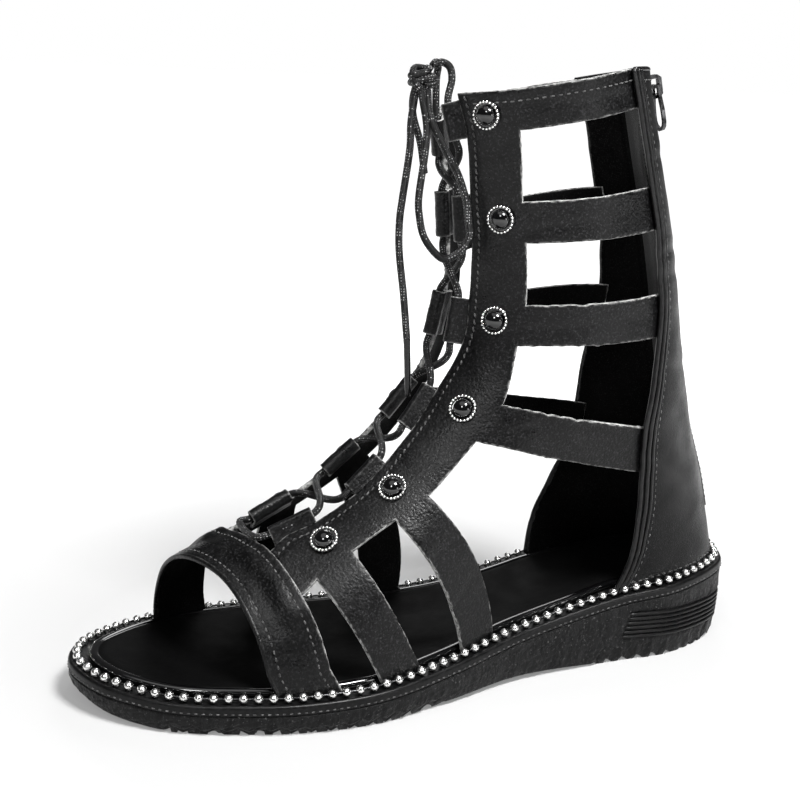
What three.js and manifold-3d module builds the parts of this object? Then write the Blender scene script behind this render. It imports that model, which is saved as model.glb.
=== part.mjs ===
// Gladiator sandal, left shoe, caged to the ankle. Millimetres, +Z up, toe towards -Y, heel towards +Y,
// the wearer's outer (lateral) side towards +X. The sole stands on z = 0.
import * as THREE from 'three';
import { mergeVertices } from 'three/addons/utils/BufferGeometryUtils.js';
import Module from 'manifold-3d';

const wasm = await Module();
wasm.setup();

// ---------- driving dimensions ----------
const GAP = 0.3;               // clearance between pieces that meet
const FOOT_GAP = 0.5;          // strap ends above the sole
const LEATHER = 1.7;           // wall of the upper
const STRAP_INSET = 4.5;       // outer face of the upper, in from the sole's outline
const BEAD_INSET = 2.85;       // bead chain's centre line, in from the sole's outline
const BEAD_R = 1.05;
const INSOLE_INSET = 6.7;
const INSOLE_THICK = 2.4;
const HEEL_ROOM = 2.0;         // the insole is this much narrower inside the counter
const EDGE_IN = 1.4;           // the sole's ground edge, in from its top edge
const LUG_PITCH = 8.0;         // serrated tread
const LUG_NOTCH = 1.3;
const FACING_MARGIN = 3.0;     // facing's front edge, in front of its stitch line
const ZIP_HALF = 3.6;          // half width of the zip's slot in the counter
const ZIP_FOOT_Z = 48;         // where the zip ends above the sole
const LACE_R = 1.25;
const LOOP_CLEAR = 1.2;        // a loop's outside to the facing's edge
const LOOP_R = 2.6;            // lace loops, rolled leather tubes
const LOOP_BORE = 1.8;
const STUD_R = 4.9;

// sole: a row for each station from toe to heel. y, outer and inner half width, top edge, ground clearance
const SOLE = [
  { y: -121.5, lateral: 10.0, medial: 16.6, rim: 12.5, ground: 3.2 },
  { y: -116.0, lateral: 18.8, medial: 24.0, rim: 11.9, ground: 1.6 },
  { y: -100.5, lateral: 32.5, medial: 35.5, rim: 10.6, ground: 0.0 },
  { y: -80.0, lateral: 41.7, medial: 41.4, rim: 10.5, ground: 0.0 },
  { y: -59.7, lateral: 47.4, medial: 41.6, rim: 10.8, ground: 0.0 },
  { y: -34.4, lateral: 48.6, medial: 37.6, rim: 11.9, ground: 0.0 },
  { y: -4.6, lateral: 41.5, medial: 30.0, rim: 14.6, ground: 1.0 },
  { y: 25.0, lateral: 33.2, medial: 25.9, rim: 18.9, ground: 1.5 },
  { y: 64.7, lateral: 29.8, medial: 29.2, rim: 25.5, ground: 0.0 },
  { y: 90.0, lateral: 29.5, medial: 30.0, rim: 28.0, ground: 0.0 },
  { y: 115.4, lateral: 18.9, medial: 20.2, rim: 29.9, ground: 0.0 },
  { y: 122.0, lateral: 11.3, medial: 12.6, rim: 30.2, ground: 0.5 },
];
const TOE_TIP = { x: -3.6, y: -124.9, rim: 13.0, ground: 4.6 };
const HEEL_TIP = { x: -0.3, y: 125.8, rim: 30.4, ground: 1.4 };

// last: the ridge along the top of the foot and the front of the leg. round = depth over which a section
// turns from the ridge to its full width
const RIDGE = [
  { y: -118.0, z: 30.5, round: 33 }, { y: -107.0, z: 35.8, round: 33 },
  { y: -96.0, z: 41.0, round: 34 }, { y: -84.5, z: 46.8, round: 35 }, { y: -72.0, z: 51.5, round: 36 },
  { y: -60.0, z: 56.5, round: 37 }, { y: -47.0, z: 63.5, round: 38 }, { y: -32.0, z: 74.5, round: 39 },
  { y: -18.0, z: 87.5, round: 40 }, { y: -7.0, z: 99.5, round: 41 }, { y: 1.0, z: 113.0, round: 43 },
  { y: 5.5, z: 132.0, round: 43 }, { y: 5.2, z: 156.0, round: 42 }, { y: 2.5, z: 177.0, round: 40 },
  { y: -1.0, z: 198.0, round: 39 }, { y: -3.5, z: 216.0, round: 39 },
];
// last: the line down the back of the heel
const BACK = [
  { y: 121.3, z: 22.0, round: 40 }, { y: 119.9, z: 36.0, round: 40 }, { y: 116.4, z: 50.0, round: 40 }, { y: 110.9, z: 66.0, round: 40 },
  { y: 103.0, z: 86.0, round: 41 }, { y: 96.5, z: 112.0, round: 42 }, { y: 92.0, z: 135.0, round: 42 }, { y: 86.6, z: 158.0, round: 42 },
  { y: 80.0, z: 182.0, round: 41 }, { y: 73.9, z: 205.0, round: 40 }, { y: 70.6, z: 221.0, round: 40 },
];
// leg: half width by height
const LEG = [
  { z: 0, half: 36 }, { z: 70, half: 36 }, { z: 90, half: 35 }, { z: 120, half: 34.5 },
  { z: 160, half: 34 }, { z: 200, half: 33.5 }, { z: 225, half: 33.5 },
];
const FOOT_TOP = 45, LEG_START = 100; // heights between which the foot's width turns into the leg's

// toe strap: girth runs from the inner foot (-1) over the ridge (0) to the outer foot (+1)
const VAMP = [
  { girth: -1.0, frontY: -88.0, rearY: -69.5 }, { girth: -0.6, frontY: -88.6, rearY: -71.0 },
  { girth: -0.3, frontY: -88.2, rearY: -71.0 }, { girth: 0.0, frontY: -84.8, rearY: -68.3 },
  { girth: 0.3, frontY: -77.6, rearY: -61.6 }, { girth: 0.6, frontY: -72.1, rearY: -54.4 },
  { girth: 1.0, frontY: -67.1, rearY: -47.6 },
];
// lacing facing and its rungs, in the side view: stitch line, rear edge, and the rung edge's far end on
// each side; bow = how far the rung's edge bulges to the rear; cells = grid cells up to the next row
const LADDER = [
  { row: 'rung2_front', stitchY: -56.8, stitchZ: 54.6, rearY: -52.8, rearZ: 46.9, outerY: -33.0, outerZ: 12.2, innerY: -50.5, innerZ: 11.2, bow: 0.5, cells: 2 },
  { row: 'rung2_rear', stitchY: -46.5, stitchZ: 59.3, rearY: -40.9, rearZ: 54.5, outerY: -18.0, outerZ: 13.2, innerY: -36.0, innerZ: 12.0, bow: 0.5, cells: 2 },
  { row: 'rung3_front', stitchY: -33.2, stitchZ: 67.6, rearY: -25.2, rearZ: 63.8, outerY: -0.1, outerZ: 15.2, innerY: -13.0, innerZ: 13.8, bow: 3.8, cells: 2 },
  { row: 'rung3_rear', stitchY: -24.7, stitchZ: 74.6, rearY: -13.8, rearZ: 70.6, outerY: 13.0, outerZ: 17.1, innerY: 1.0, innerZ: 15.4, bow: 5.5, cells: 3 },
  { row: 'rung4_low', stitchY: -10.5, stitchZ: 89.4, rearY: 4.0, rearZ: 87.7, outerY: 68.5, outerZ: 72.7, innerY: 74.5, innerZ: 66.0, bow: 0, cells: 2 },
  { row: 'rung4_top', stitchY: -1.0, stitchZ: 102.5, rearY: 12.8, rearZ: 99.1, outerY: 66.0, outerZ: 89.3, innerY: 78.5, innerZ: 83.0, bow: 0, cells: 2 },
  { row: 'rung5_low', stitchY: 7.0, stitchZ: 119.5, rearY: 18.1, rearZ: 119.0, outerY: 69.8, outerZ: 121.2, innerY: 80.5, innerZ: 117.0, bow: 0, cells: 2 },
  { row: 'rung5_top', stitchY: 8.6, stitchZ: 131.5, rearY: 20.2, rearZ: 131.9, outerY: 70.0, outerZ: 135.2, innerY: 81.0, innerZ: 130.6, bow: 0, cells: 2 },
  { row: 'rung6_low', stitchY: 8.5, stitchZ: 152.3, rearY: 19.2, rearZ: 153.1, outerY: 67.3, outerZ: 157.7, innerY: 78.0, innerZ: 152.5, bow: 0, cells: 2 },
  { row: 'rung6_top', stitchY: 7.0, stitchZ: 166.0, rearY: 17.2, rearZ: 165.9, outerY: 63.6, outerZ: 171.5, innerY: 74.0, innerZ: 167.5, bow: 0, cells: 3 },
  { row: 'collar_low', stitchY: 3.9, stitchZ: 188.0, rearY: 14.1, rearZ: 189.5, outerY: 56.2, outerZ: 198.1, innerY: 67.5, innerZ: 192.5, bow: 0, cells: 2 },
  { row: 'collar_top', stitchY: 0.8, stitchZ: 199.8, rearY: 11.0, rearZ: 201.6, outerY: 52.2, outerZ: 209.9, innerY: 62.0, innerZ: 205.5, bow: 0, cells: 0 },
];
// counter's front edge below the fourth rung, from the rung down to the sole
const COUNTER_FOOT = [
  { outerY: 71.5, outerZ: 56.0, innerY: 66.5, innerZ: 54.0, backZ: 54.0 },
  { outerY: 71.5, outerZ: 43.0, innerY: 60.5, innerZ: 43.0, backZ: 44.0 },
  { outerY: 69.0, outerZ: 34.5, innerY: 58.0, innerZ: 34.0, backZ: 37.0 },
  { outerY: 64.3, outerZ: 25.8, innerY: 57.0, innerZ: 24.7, backZ: 30.8 },
];
const BACK_RISE = 1.6; // the collar's rise from the rung's end to the back line

// lace loops: where each sits on the ridge, its distance off centre, and how far its axis stands proud
const LOOPS = [
  { name: '1', z: 191.8, proud: 1.1, length: 12.0 }, { name: '2', z: 159.5, proud: 1.5, length: 15.0 },
  { name: '3', z: 124.5, proud: 1.9, length: 15.0 }, { name: '4', z: 95.0, proud: 0.3, length: 15.5 },
  { name: '5', z: 73.5, proud: -0.4, length: 14.0 }, { name: '6', z: 56.8, proud: 0.6, length: 15.0 },
];
const STUDS = [
  { name: '1', y: 6.1, z: 193.6 }, { name: '2', y: 12.7, z: 160.3 }, { name: '3', y: 12.7, z: 126.5 },
  { name: '4', y: 1.8, z: 97.0 }, { name: '5', y: -23.5, z: 71.9 }, { name: '6', y: -47.3, z: 56.2 },
];

// ---------- small helpers ----------
const clamp = (v, a, b) => Math.min(b, Math.max(a, v));
const smooth = (t) => { const u = clamp(t, 0, 1); return u * u * (3 - 2 * u); };
// cubic interpolation through a table's rows
function along(rows, key, at, value) {
  const n = rows.length;
  let i = 0;
  while (i < n - 2 && at > rows[i + 1][key]) i++;
  const a = rows[i], b = rows[i + 1], h = b[key] - a[key];
  const slope = (k) => {
    const p = rows[Math.max(k - 1, 0)], q = rows[Math.min(k + 1, n - 1)];
    return (q[value] - p[value]) / (q[key] - p[key]);
  };
  const t = clamp((at - a[key]) / h, 0, 1), t2 = t * t, t3 = t2 * t;
  return (2 * t3 - 3 * t2 + 1) * a[value] + (t3 - 2 * t2 + t) * h * slope(i)
    + (3 * t2 - 2 * t3) * b[value] + (t3 - t2) * h * slope(i + 1);
}
function linear(rows, key, at, value) {
  let i = 0;
  while (i < rows.length - 2 && at > rows[i + 1][key]) i++;
  const a = rows[i], b = rows[i + 1];
  return a[value] + (b[value] - a[value]) * clamp((at - a[key]) / (b[key] - a[key]), 0, 1);
}

// ---------- sole outline ----------
const outlinePoints = [
  ...SOLE.map((s) => new THREE.Vector3(s.lateral, s.y, 0)).reverse(),
  new THREE.Vector3(TOE_TIP.x, TOE_TIP.y, 0),
  ...SOLE.map((s) => new THREE.Vector3(-s.medial, s.y, 0)),
  new THREE.Vector3(HEEL_TIP.x, HEEL_TIP.y, 0),
];
const OUTLINE = new THREE.CatmullRomCurve3(outlinePoints, true, 'centripetal').getPoints(720).slice(0, 720);
function inset(distance) {
  const n = OUTLINE.length;
  return OUTLINE.map((p, i) => {
    const t = OUTLINE[(i + 2) % n].clone().sub(OUTLINE[(i + n - 2) % n]).normalize();
    return new THREE.Vector3(p.x + t.y * distance, p.y - t.x * distance, 0);
  });
}
// the loop runs heel, outer side, toe, inner side: its left-hand normal (t.y, -t.x) points inwards
const loops = new Map();
function halfWidths(y, distance) {
  if (!loops.has(distance)) loops.set(distance, inset(distance));
  const loop = loops.get(distance), n = loop.length;
  let low = Infinity, high = -Infinity;
  for (let i = 0; i < n; i++) {
    const a = loop[i], b = loop[(i + 1) % n];
    if ((a.y - y) * (b.y - y) > 0 || a.y === b.y) continue;
    const x = a.x + (b.x - a.x) * (y - a.y) / (b.y - a.y);
    low = Math.min(low, x); high = Math.max(high, x);
  }
  return [low, high];
}
const SOLE_FULL = [
  { ...TOE_TIP }, ...SOLE, { ...HEEL_TIP },
];
const rimZ = (y) => along(SOLE_FULL, 'y', y, 'rim');
const groundZ = (y) => Math.max(0, along(SOLE_FULL, 'y', y, 'ground'));

// a closed block of grid cells, each grid corner placed by a function
function gridSolid(nu, nv, nw, place) {
  const box = new THREE.BoxGeometry(1, 1, 1, nu, nv, nw);
  box.deleteAttribute('normal'); box.deleteAttribute('uv');
  const g = mergeVertices(box, 1e-4), p = g.attributes.position;
  for (let i = 0; i < p.count; i++) {
    const [x, y, z] = place(Math.round((p.getX(i) + 0.5) * nu), Math.round((p.getY(i) + 0.5) * nv), Math.round((p.getZ(i) + 0.5) * nw));
    p.setXYZ(i, x, y, z);
  }
  return g;
}
function stations(low, high, count, extra = []) {
  const list = [];
  for (let j = 0; j <= count; j++) list.push(low + (high - low) * (1 - Math.cos(Math.PI * j / count)) / 2);
  const kept = list.filter((y, j) => j === 0 || j === count || extra.every((e) => Math.abs(e - y) > 1.4));
  return [...kept, ...extra].sort((a, b) => a - b);
}

// ---------- outsole ----------
const notches = [];
for (let y = -100; y < -8; y += LUG_PITCH) notches.push(y);
for (let y = 58; y < 116; y += LUG_PITCH) notches.push(y);
function buildOutsole() {
  const edges = notches.flatMap((y) => [y - 1.2, y, y + 1.2]);
  const ys = stations(TOE_TIP.y + 0.15, HEEL_TIP.y - 0.15, 30, edges);
  const us = [0, 0.05, 0.36, 0.64, 0.95, 1], nw = 2;
  return gridSolid(us.length - 1, ys.length - 1, nw, (i, j, k) => {
    const y = ys[j], [low, high] = halfWidths(y, 0);
    const side = k === 0 ? EDGE_IN : (k === 1 ? 0.35 : 0);
    const half = (high - low) / 2, mid = (high + low) / 2;
    const squeeze = Math.max(0.3, 1 - side / Math.max(half, 2));
    const x = mid + (us[i] * 2 - 1) * half * squeeze;
    const top = rimZ(y), low0 = groundZ(y);
    if (k === 2) return [x, y, top];
    if (k === 1) return [x, y, low0 + (top - low0) * 0.22];
    const notch = notches.some((c) => Math.abs(c - y) < 0.01) && (i <= 1 || i >= 4) ? LUG_NOTCH : 0;
    const bevel = i === 0 || i === 5 ? 0.5 : 0;
    const yIn = y + (j < 3 ? 0.9 : 0) - (j > ys.length - 4 ? 0.9 : 0);
    return [x, yIn, low0 + Math.max(notch, bevel)];
  });
}

// ---------- insole ----------
function buildInsole() {
  const ys = stations(TOE_TIP.y + INSOLE_INSET + 0.2, HEEL_TIP.y - INSOLE_INSET - HEEL_ROOM - 0.2, 26);
  const us = [0, 0.08, 0.5, 0.92, 1];
  return gridSolid(us.length - 1, ys.length - 1, 1, (i, j, k) => {
    const y = ys[j], [low, high] = halfWidths(y, INSOLE_INSET + smooth((y - 45) / 25) * HEEL_ROOM);
    const bottom = rimZ(y) + GAP;
    const dish = [0, 0, -0.9, 0, 0][i];
    const edge = i === 0 || i === 4 || j === 0 || j === ys.length - 1 ? -0.7 : 0;
    return [low + (high - low) * us[i], y, k === 0 ? bottom : bottom + INSOLE_THICK + dish * 0.6 + edge];
  });
}

// ---------- bead chain: a ring in the groove between welt edge and straps ----------
function buildBeadChain() {
  const loop = inset(BEAD_INSET), picks = [];
  for (let i = 0; i < 80; i++) {
    const p = loop[Math.round(i * loop.length / 80) % loop.length];
    picks.push(new THREE.Vector3(p.x, p.y, rimZ(p.y) + GAP + BEAD_R));
  }
  return new THREE.TubeGeometry(new THREE.CatmullRomCurve3(picks, true, 'centripetal'), 88, BEAD_R, 6, true);
}

// ---------- the last's surface ----------
function profile(rows) {
  const curve = [];
  for (let i = 0; i < rows.length - 1; i++) {
    for (let k = 0; k < 24; k++) {
      const t = i + k / 24;
      curve.push(at(rows, t));
    }
  }
  curve.push(at(rows, rows.length - 1));
  return curve;
}
function at(rows, t) {
  const i = clamp(Math.floor(t), 0, rows.length - 2), f = t - i;
  const p0 = rows[Math.max(i - 1, 0)], p1 = rows[i], p2 = rows[i + 1], p3 = rows[Math.min(i + 2, rows.length - 1)];
  const cr = (k) => 0.5 * (2 * p1[k] + (p2[k] - p0[k]) * f + (2 * p0[k] - 5 * p1[k] + 4 * p2[k] - p3[k]) * f * f
    + (3 * p1[k] - p0[k] - 3 * p2[k] + p3[k]) * f * f * f);
  return { y: cr('y'), z: cr('z'), round: cr('round') };
}
const RIDGE_LINE = profile(RIDGE), BACK_LINE = profile(BACK);
// nearest point of a profile: signed distance (positive on the foot's side), foot point, inward normal
function nearest(line, y, z, sign) {
  let best = null;
  for (let i = 0; i < line.length - 1; i++) {
    const a = line[i], b = line[i + 1], dy = b.y - a.y, dz = b.z - a.z, l2 = dy * dy + dz * dz;
    const t = clamp(((y - a.y) * dy + (z - a.z) * dz) / l2, 0, 1);
    const fy = a.y + dy * t, fz = a.z + dz * t, d = Math.hypot(y - fy, z - fz);
    if (!best || d < best.d) {
      const l = Math.sqrt(l2), ny = sign * dz / l, nz = -sign * dy / l;
      best = { d, fy, fz, ny, nz, round: a.round + (b.round - a.round) * t, s: (y - fy) * ny + (z - fz) * nz };
    }
  }
  return { ...best, signed: best.s < 0 ? -best.d : best.d };
}
const toRidge = (y, z) => nearest(RIDGE_LINE, y, z, 1);
const toBack = (y, z) => nearest(BACK_LINE, y, z, -1);
// full half width of the last at a place in the side view
function fullWidth(side, y, z) {
  const [low, high] = halfWidths(clamp(y, -112, 70), STRAP_INSET);
  const foot = side > 0 ? high : -low;
  const leg = linear(LEG, 'z', z, 'half');
  const t = smooth((z - FOOT_TOP) / (LEG_START - FOOT_TOP));
  return foot * (1 - t) + leg * t;
}
const turn = (d, r) => Math.sqrt(Math.max(0, 1 - (1 - clamp(d / r, 0, 1)) ** 2));
function surfaceX(side, y, z, f = toRidge(y, z), b = toBack(y, z)) {
  return side * fullWidth(side, y, z) * turn(Math.max(0, f.signed), f.round) * turn(Math.max(0, b.signed), b.round);
}
// the side view unrolled: near the ridge or the back line, distance is measured round the section
const quarter = (r, w) => Math.PI / 2 * Math.sqrt((r * r + w * w) / 2);
function unroll(side, y, z) {
  for (const near of [toRidge, toBack]) {
    const n = near(y, z);
    if (n.signed < n.round) {
      const w = fullWidth(side, n.fy + n.ny * n.round, n.fz + n.nz * n.round), q = quarter(n.round, w);
      const phi = Math.acos(clamp(1 - Math.max(0, n.signed) / n.round, -1, 1));
      const u = n.round - q * (1 - phi / (Math.PI / 2));
      return [n.fy + n.ny * u, n.fz + n.nz * u];
    }
  }
  return [y, z];
}
function roll(side, y, z) {
  for (const near of [toRidge, toBack]) {
    const n = near(y, z);
    if (n.signed < n.round) {
      const w = fullWidth(side, n.fy + n.ny * n.round, n.fz + n.nz * n.round), q = quarter(n.round, w);
      const phi = clamp(1 - (n.round - n.signed) / q, 0, 1) * Math.PI / 2;
      const d = n.round * (1 - Math.cos(phi));
      return [n.fy + n.ny * d, n.fz + n.nz * d];
    }
  }
  return [y, z];
}
// a point of the last from unrolled coordinates, and its outward normal
function onLast(side, u, v) {
  const place = (a, b) => { const [y, z] = roll(side, a, b); return new THREE.Vector3(surfaceX(side, y, z), y, z); };
  const e = 0.4, p = place(u, v);
  const a = place(u + e, v).sub(place(u - e, v)), b = place(u, v + e).sub(place(u, v - e));
  const n = new THREE.Vector3().crossVectors(a, b).normalize().multiplyScalar(side);
  return { p, n };
}

// ---------- upper: one sheet of leather with its openings, given its thickness ----------
class Sheet {
  constructor() { this.verts = []; this.keys = new Map(); this.tris = []; }
  add(point, normal) {
    const key = [point.x, point.y, point.z].map((c) => Math.round(c * 20)).join();
    if (this.keys.has(key)) { const i = this.keys.get(key); this.verts[i].n.add(normal); return i; }
    this.verts.push({ p: point, n: normal.clone() });
    this.keys.set(key, this.verts.length - 1);
    return this.verts.length - 1;
  }
  // a grid of {p, n}, rows by columns; each face is turned to the side its normals point to
  grid(rows) {
    const ids = rows.map((r) => r.map((q) => this.add(q.p, q.n)));
    for (let j = 0; j < ids.length - 1; j++) for (let i = 0; i < ids[0].length - 1; i++) {
      const a = ids[j][i], b = ids[j][i + 1], c = ids[j + 1][i + 1], d = ids[j + 1][i];
      for (const t of [[a, b, c], [a, c, d]]) {
        if (new Set(t).size < 3) continue;
        const [p, q, r] = t.map((k) => this.verts[k].p), m = new THREE.Vector3();
        for (const k of t) m.add(this.verts[k].n.clone().normalize());
        const face = q.clone().sub(p).cross(r.clone().sub(p));
        this.tris.push(face.dot(m) < 0 ? [t[0], t[2], t[1]] : t);
      }
    }
  }
  thicken(thickness) {
    const n = this.verts.length, pos = [];
    for (const v of this.verts) pos.push(v.p.x, v.p.y, v.p.z);
    for (const v of this.verts) {
      const m = v.n.clone().normalize().multiplyScalar(-thickness).add(v.p);
      pos.push(m.x, m.y, m.z);
    }
    const index = [], edges = new Map();
    for (const [a, b, c] of this.tris) {
      index.push(a, b, c, a + n, c + n, b + n);
      for (const [s, e] of [[a, b], [b, c], [c, a]]) {
        if (edges.has(e + ',' + s)) edges.delete(e + ',' + s); else edges.set(s + ',' + e, [s, e]);
      }
    }
    for (const [s, e] of edges.values()) index.push(e, s, s + n, e, s + n, e + n);
    const g = new THREE.BufferGeometry();
    g.setAttribute('position', new THREE.Float32BufferAttribute(pos, 3));
    g.setIndex(index);
    return g;
  }
}
const mix = (a, b, t) => a + (b - a) * t;
function mixPoint(a, b, t) { return [mix(a[0], b[0], t), mix(a[1], b[1], t)]; }

// toe strap, by girth: the place in the side view where the section through y has turned by phi
function onSection(phi, y) {
  let lo = 0, hi = RIDGE_LINE.length - 1;
  const atIndex = (s) => {
    const i = clamp(Math.floor(s), 0, RIDGE_LINE.length - 2), f = s - i, a = RIDGE_LINE[i], b = RIDGE_LINE[i + 1];
    const dy = b.y - a.y, dz = b.z - a.z, l = Math.hypot(dy, dz), d = mix(a.round, b.round, f) * (1 - Math.cos(phi));
    return [mix(a.y, b.y, f) + dz / l * d, mix(a.z, b.z, f) - dy / l * d];
  };
  for (let k = 0; k < 40; k++) { const m = (lo + hi) / 2; if (atIndex(m)[0] < y) lo = m; else hi = m; }
  return atIndex(lo)[1];
}
function vampPoint(girth, y) {
  const g = Math.abs(girth), foot = rimZ(y) + FOOT_GAP, knee = foot + 7;
  let phi = Math.PI / 2;
  while (phi > 0.7 && onSection(phi, y) < knee) phi -= 0.04;
  if (g <= 0.72) return [y, onSection(phi * g / 0.72, y)];
  return [y, mix(onSection(phi, y), foot, (g - 0.72) / 0.28)];
}
function vampVertex(girth, t) {
  const y = mix(along(VAMP, 'girth', girth, 'frontY'), along(VAMP, 'girth', girth, 'rearY'), t);
  const side = girth < 0 ? -1 : 1;
  const place = (g, yy) => { const [a, b] = vampPoint(g, yy); const s = g < 0 ? -1 : 1; return new THREE.Vector3(Math.abs(g) < 1e-6 ? 0 : surfaceX(s, a, b), a, b); };
  const p = place(girth, y), e = 0.02;
  const g0 = Math.max(-1, girth - e), g1 = Math.min(1, girth + e);
  const a = place(g1, y).sub(place(g0, y)), b = place(girth, y + 0.5).sub(place(girth, y - 0.5));
  const n = new THREE.Vector3().crossVectors(b, a).normalize();
  if (n.dot(new THREE.Vector3(side * Math.abs(girth), 0, 1 - Math.abs(girth))) < 0) n.negate();
  return { p, n };
}
const JOINT_GIRTHS = [0.2, 0.26, 0.33, 0.41]; // where the facing grows out of the toe strap

// on the inner side the rungs, their studs and the collar sit a little lower: points slide down along the ridge
const DROP = [{ z: 0, drop: 0 }, { z: 76, drop: 0 }, { z: 88, drop: 4.5 }, { z: 100, drop: 6 }, { z: 125, drop: 8 }, { z: 150, drop: 9.5 }, { z: 168, drop: 9.5 }, { z: 188, drop: 6.5 }, { z: 260, drop: 5.4 }];
function lowered(side, y, z) {
  if (side > 0 || z <= 76) return [y, z];
  let k = 0;
  while (DROP[k + 1].z < z) k++;
  const low = z - mix(DROP[k].drop, DROP[k + 1].drop, (z - DROP[k].z) / (DROP[k + 1].z - DROP[k].z));
  return [y + pointAtZ(RIDGE_LINE, low).y - pointAtZ(RIDGE_LINE, z).y, low];
}
function frontEdge(side, row) {
  const [a, b] = unroll(side, ...lowered(side, row.stitchY, row.stitchZ)), n = toRidge(a, b);
  return [a - n.ny * FACING_MARGIN, b - n.nz * FACING_MARGIN];
}
const rearEdge = (side, row) => unroll(side, ...lowered(side, row.rearY, row.rearZ));
// an end that reaches the sole stops just above its top
function endAt(side, y, z) { return unroll(side, y, z < rimZ(y) + 4 ? rimZ(y) + FOOT_GAP : z); }
function rungEnd(side, row) {
  return endAt(side, side > 0 ? row.outerY : row.innerY, side > 0 ? row.outerZ : row.innerZ);
}
const COLS = 3;
function facingRow(side, row) {
  const a = frontEdge(side, row), b = rearEdge(side, row), list = [];
  for (let i = 0; i <= COLS; i++) list.push(mixPoint(a, b, i / COLS));
  return list;
}
// a point that comes down to the sole keeps the gap above its top
function seated(side, q) {
  const seat = rimZ(q.p.y) + FOOT_GAP;
  if (q.p.z < seat + 1.2) { q.p.z = seat; q.p.x = surfaceX(side, q.p.y, seat); }
  return q;
}
function buildSide(sheet, side) {
  const vertex = ([u, v]) => seated(side, onLast(side, u, v));
  // rows of the facing with their subdivisions; remember where each table row lies
  const rows = [], index = {};
  for (let r = 0; r < LADDER.length; r++) {
    index[LADDER[r].row] = rows.length;
    const here = facingRow(side, LADDER[r]);
    rows.push(here);
    if (r + 1 < LADDER.length) {
      const next = facingRow(side, LADDER[r + 1]), n = LADDER[r].cells;
      for (let k = 1; k < n; k++) rows.push(here.map((p, i) => mixPoint(p, next[i], k / n)));
    }
  }
  const facing = rows.map((r) => r.map(vertex));
  const joint = JOINT_GIRTHS.map((g) => vampVertex(side * g, 1));
  const first = facing[0].map((q, i) => {
    const p = q.p.clone().add(joint[i].p).multiplyScalar(0.5), m = p.clone();
    m.x = surfaceX(side, p.y, p.z);
    return { p: m.lerp(p, 0.3), n: q.n.clone().add(joint[i].n).normalize() };
  });
  sheet.grid([joint, first, ...facing]);
  // rungs
  const ends = {};
  for (const [name, low, high, length] of [['rung2', 'rung2_front', 'rung2_rear', 5], ['rung3', 'rung3_front', 'rung3_rear', 6],
    ['rung4', 'rung4_low', 'rung4_top', 5], ['rung5', 'rung5_low', 'rung5_top', 4], ['rung6', 'rung6_low', 'rung6_top', 4],
    ['collar', 'collar_low', 'collar_top', 4]]) {
    const a = LADDER.find((r) => r.row === low), b = LADDER.find((r) => r.row === high);
    const start = rows.slice(index[low], index[high] + 1).map((r) => r[COLS]), n = start.length - 1;
    const endA = rungEnd(side, a), endB = rungEnd(side, b), strip = [];
    for (let j = 0; j <= n; j++) {
      const line = [], end = mixPoint(endA, endB, j / n), bow = mix(a.bow, b.bow, j / n);
      for (let i = 0; i <= length; i++) {
        const t = i / length, [u, v] = mixPoint(start[j], end, t);
        line.push(vertex([u + bow * 4 * t * (1 - t), v]));
      }
      strip.push(line);
    }
    sheet.grid(strip);
    ends[name] = strip.map((line) => ({ end: mixPoint(endA, endB, strip.indexOf(line) / n) }));
  }
  // counter half: from its front edge round to the zip slot, or to the back line below the zip
  const edge = [];
  for (let k = COUNTER_FOOT.length - 1; k >= 0; k--) {
    const c = COUNTER_FOOT[k];
    edge.push({ uv: endAt(side, side > 0 ? c.outerY : c.innerY, side > 0 ? c.outerZ : c.innerZ), backZ: k === COUNTER_FOOT.length - 1 ? rimZ(HEEL_TIP.y - 5) + FOOT_GAP + 0.3 : c.backZ });
  }
  for (let k = 0; k < 6; k++) {
    const name = ['rung4', 'rung5', 'rung6', 'collar'][k];
    if (!name) break;
    const list = ends[name];
    list.forEach((e) => {
      const [y, z] = roll(side, ...e.end);
      const mean = (LADDER.find((r) => r.row === (name === 'collar' ? 'collar_top' : name + '_top')));
      const other = side > 0 ? (mean.innerZ - mean.outerZ) / 2 : (mean.outerZ - mean.innerZ) / 2;
      edge.push({ uv: e.end, backZ: z + other + (name === 'collar' ? BACK_RISE : 0) * 1 });
    });
    if (name !== 'collar') {
      const nextName = ['rung5', 'rung6', 'collar'][k];
      edge.push({ between: [name, nextName] });
    }
  }
  // fill the rows that lie between two rungs
  for (let k = 0; k < edge.length; k++) if (edge[k].between) {
    edge[k] = { uv: mixPoint(edge[k - 1].uv, edge[k + 1].uv, 0.5), backZ: (edge[k - 1].backZ + edge[k + 1].backZ) / 2 };
  }
  const counter = edge.map((e) => {
    const foot = pointAtZ(BACK_LINE, e.backZ), w = fullWidth(side, foot.y - foot.round, foot.z), q = quarter(foot.round, w);
    const ridge = [foot.y + foot.ny * (foot.round - q), foot.z + foot.nz * (foot.round - q)];
    let slot = 0, most = 12;
    for (let k = 0; k < 24 && e.backZ > ZIP_FOOT_Z; k++) {
      const mid = (slot + most) / 2;
      if (Math.abs(onLast(side, ridge[0] + foot.ny * mid, ridge[1] + foot.nz * mid).p.x) < ZIP_HALF) slot = mid; else most = mid;
    }
    const inner = [ridge[0] + foot.ny * slot, ridge[1] + foot.nz * slot];
    const line = [];
    for (let i = 0; i <= 4; i++) {
      const v = vertex(mixPoint(e.uv, inner, i / 4));
      if (i === 4 && slot === 0) { v.p.x = 0; v.n = new THREE.Vector3(0, -foot.ny, -foot.nz); }
      line.push(v);
    }
    return line;
  });
  sheet.grid(counter);
}
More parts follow.
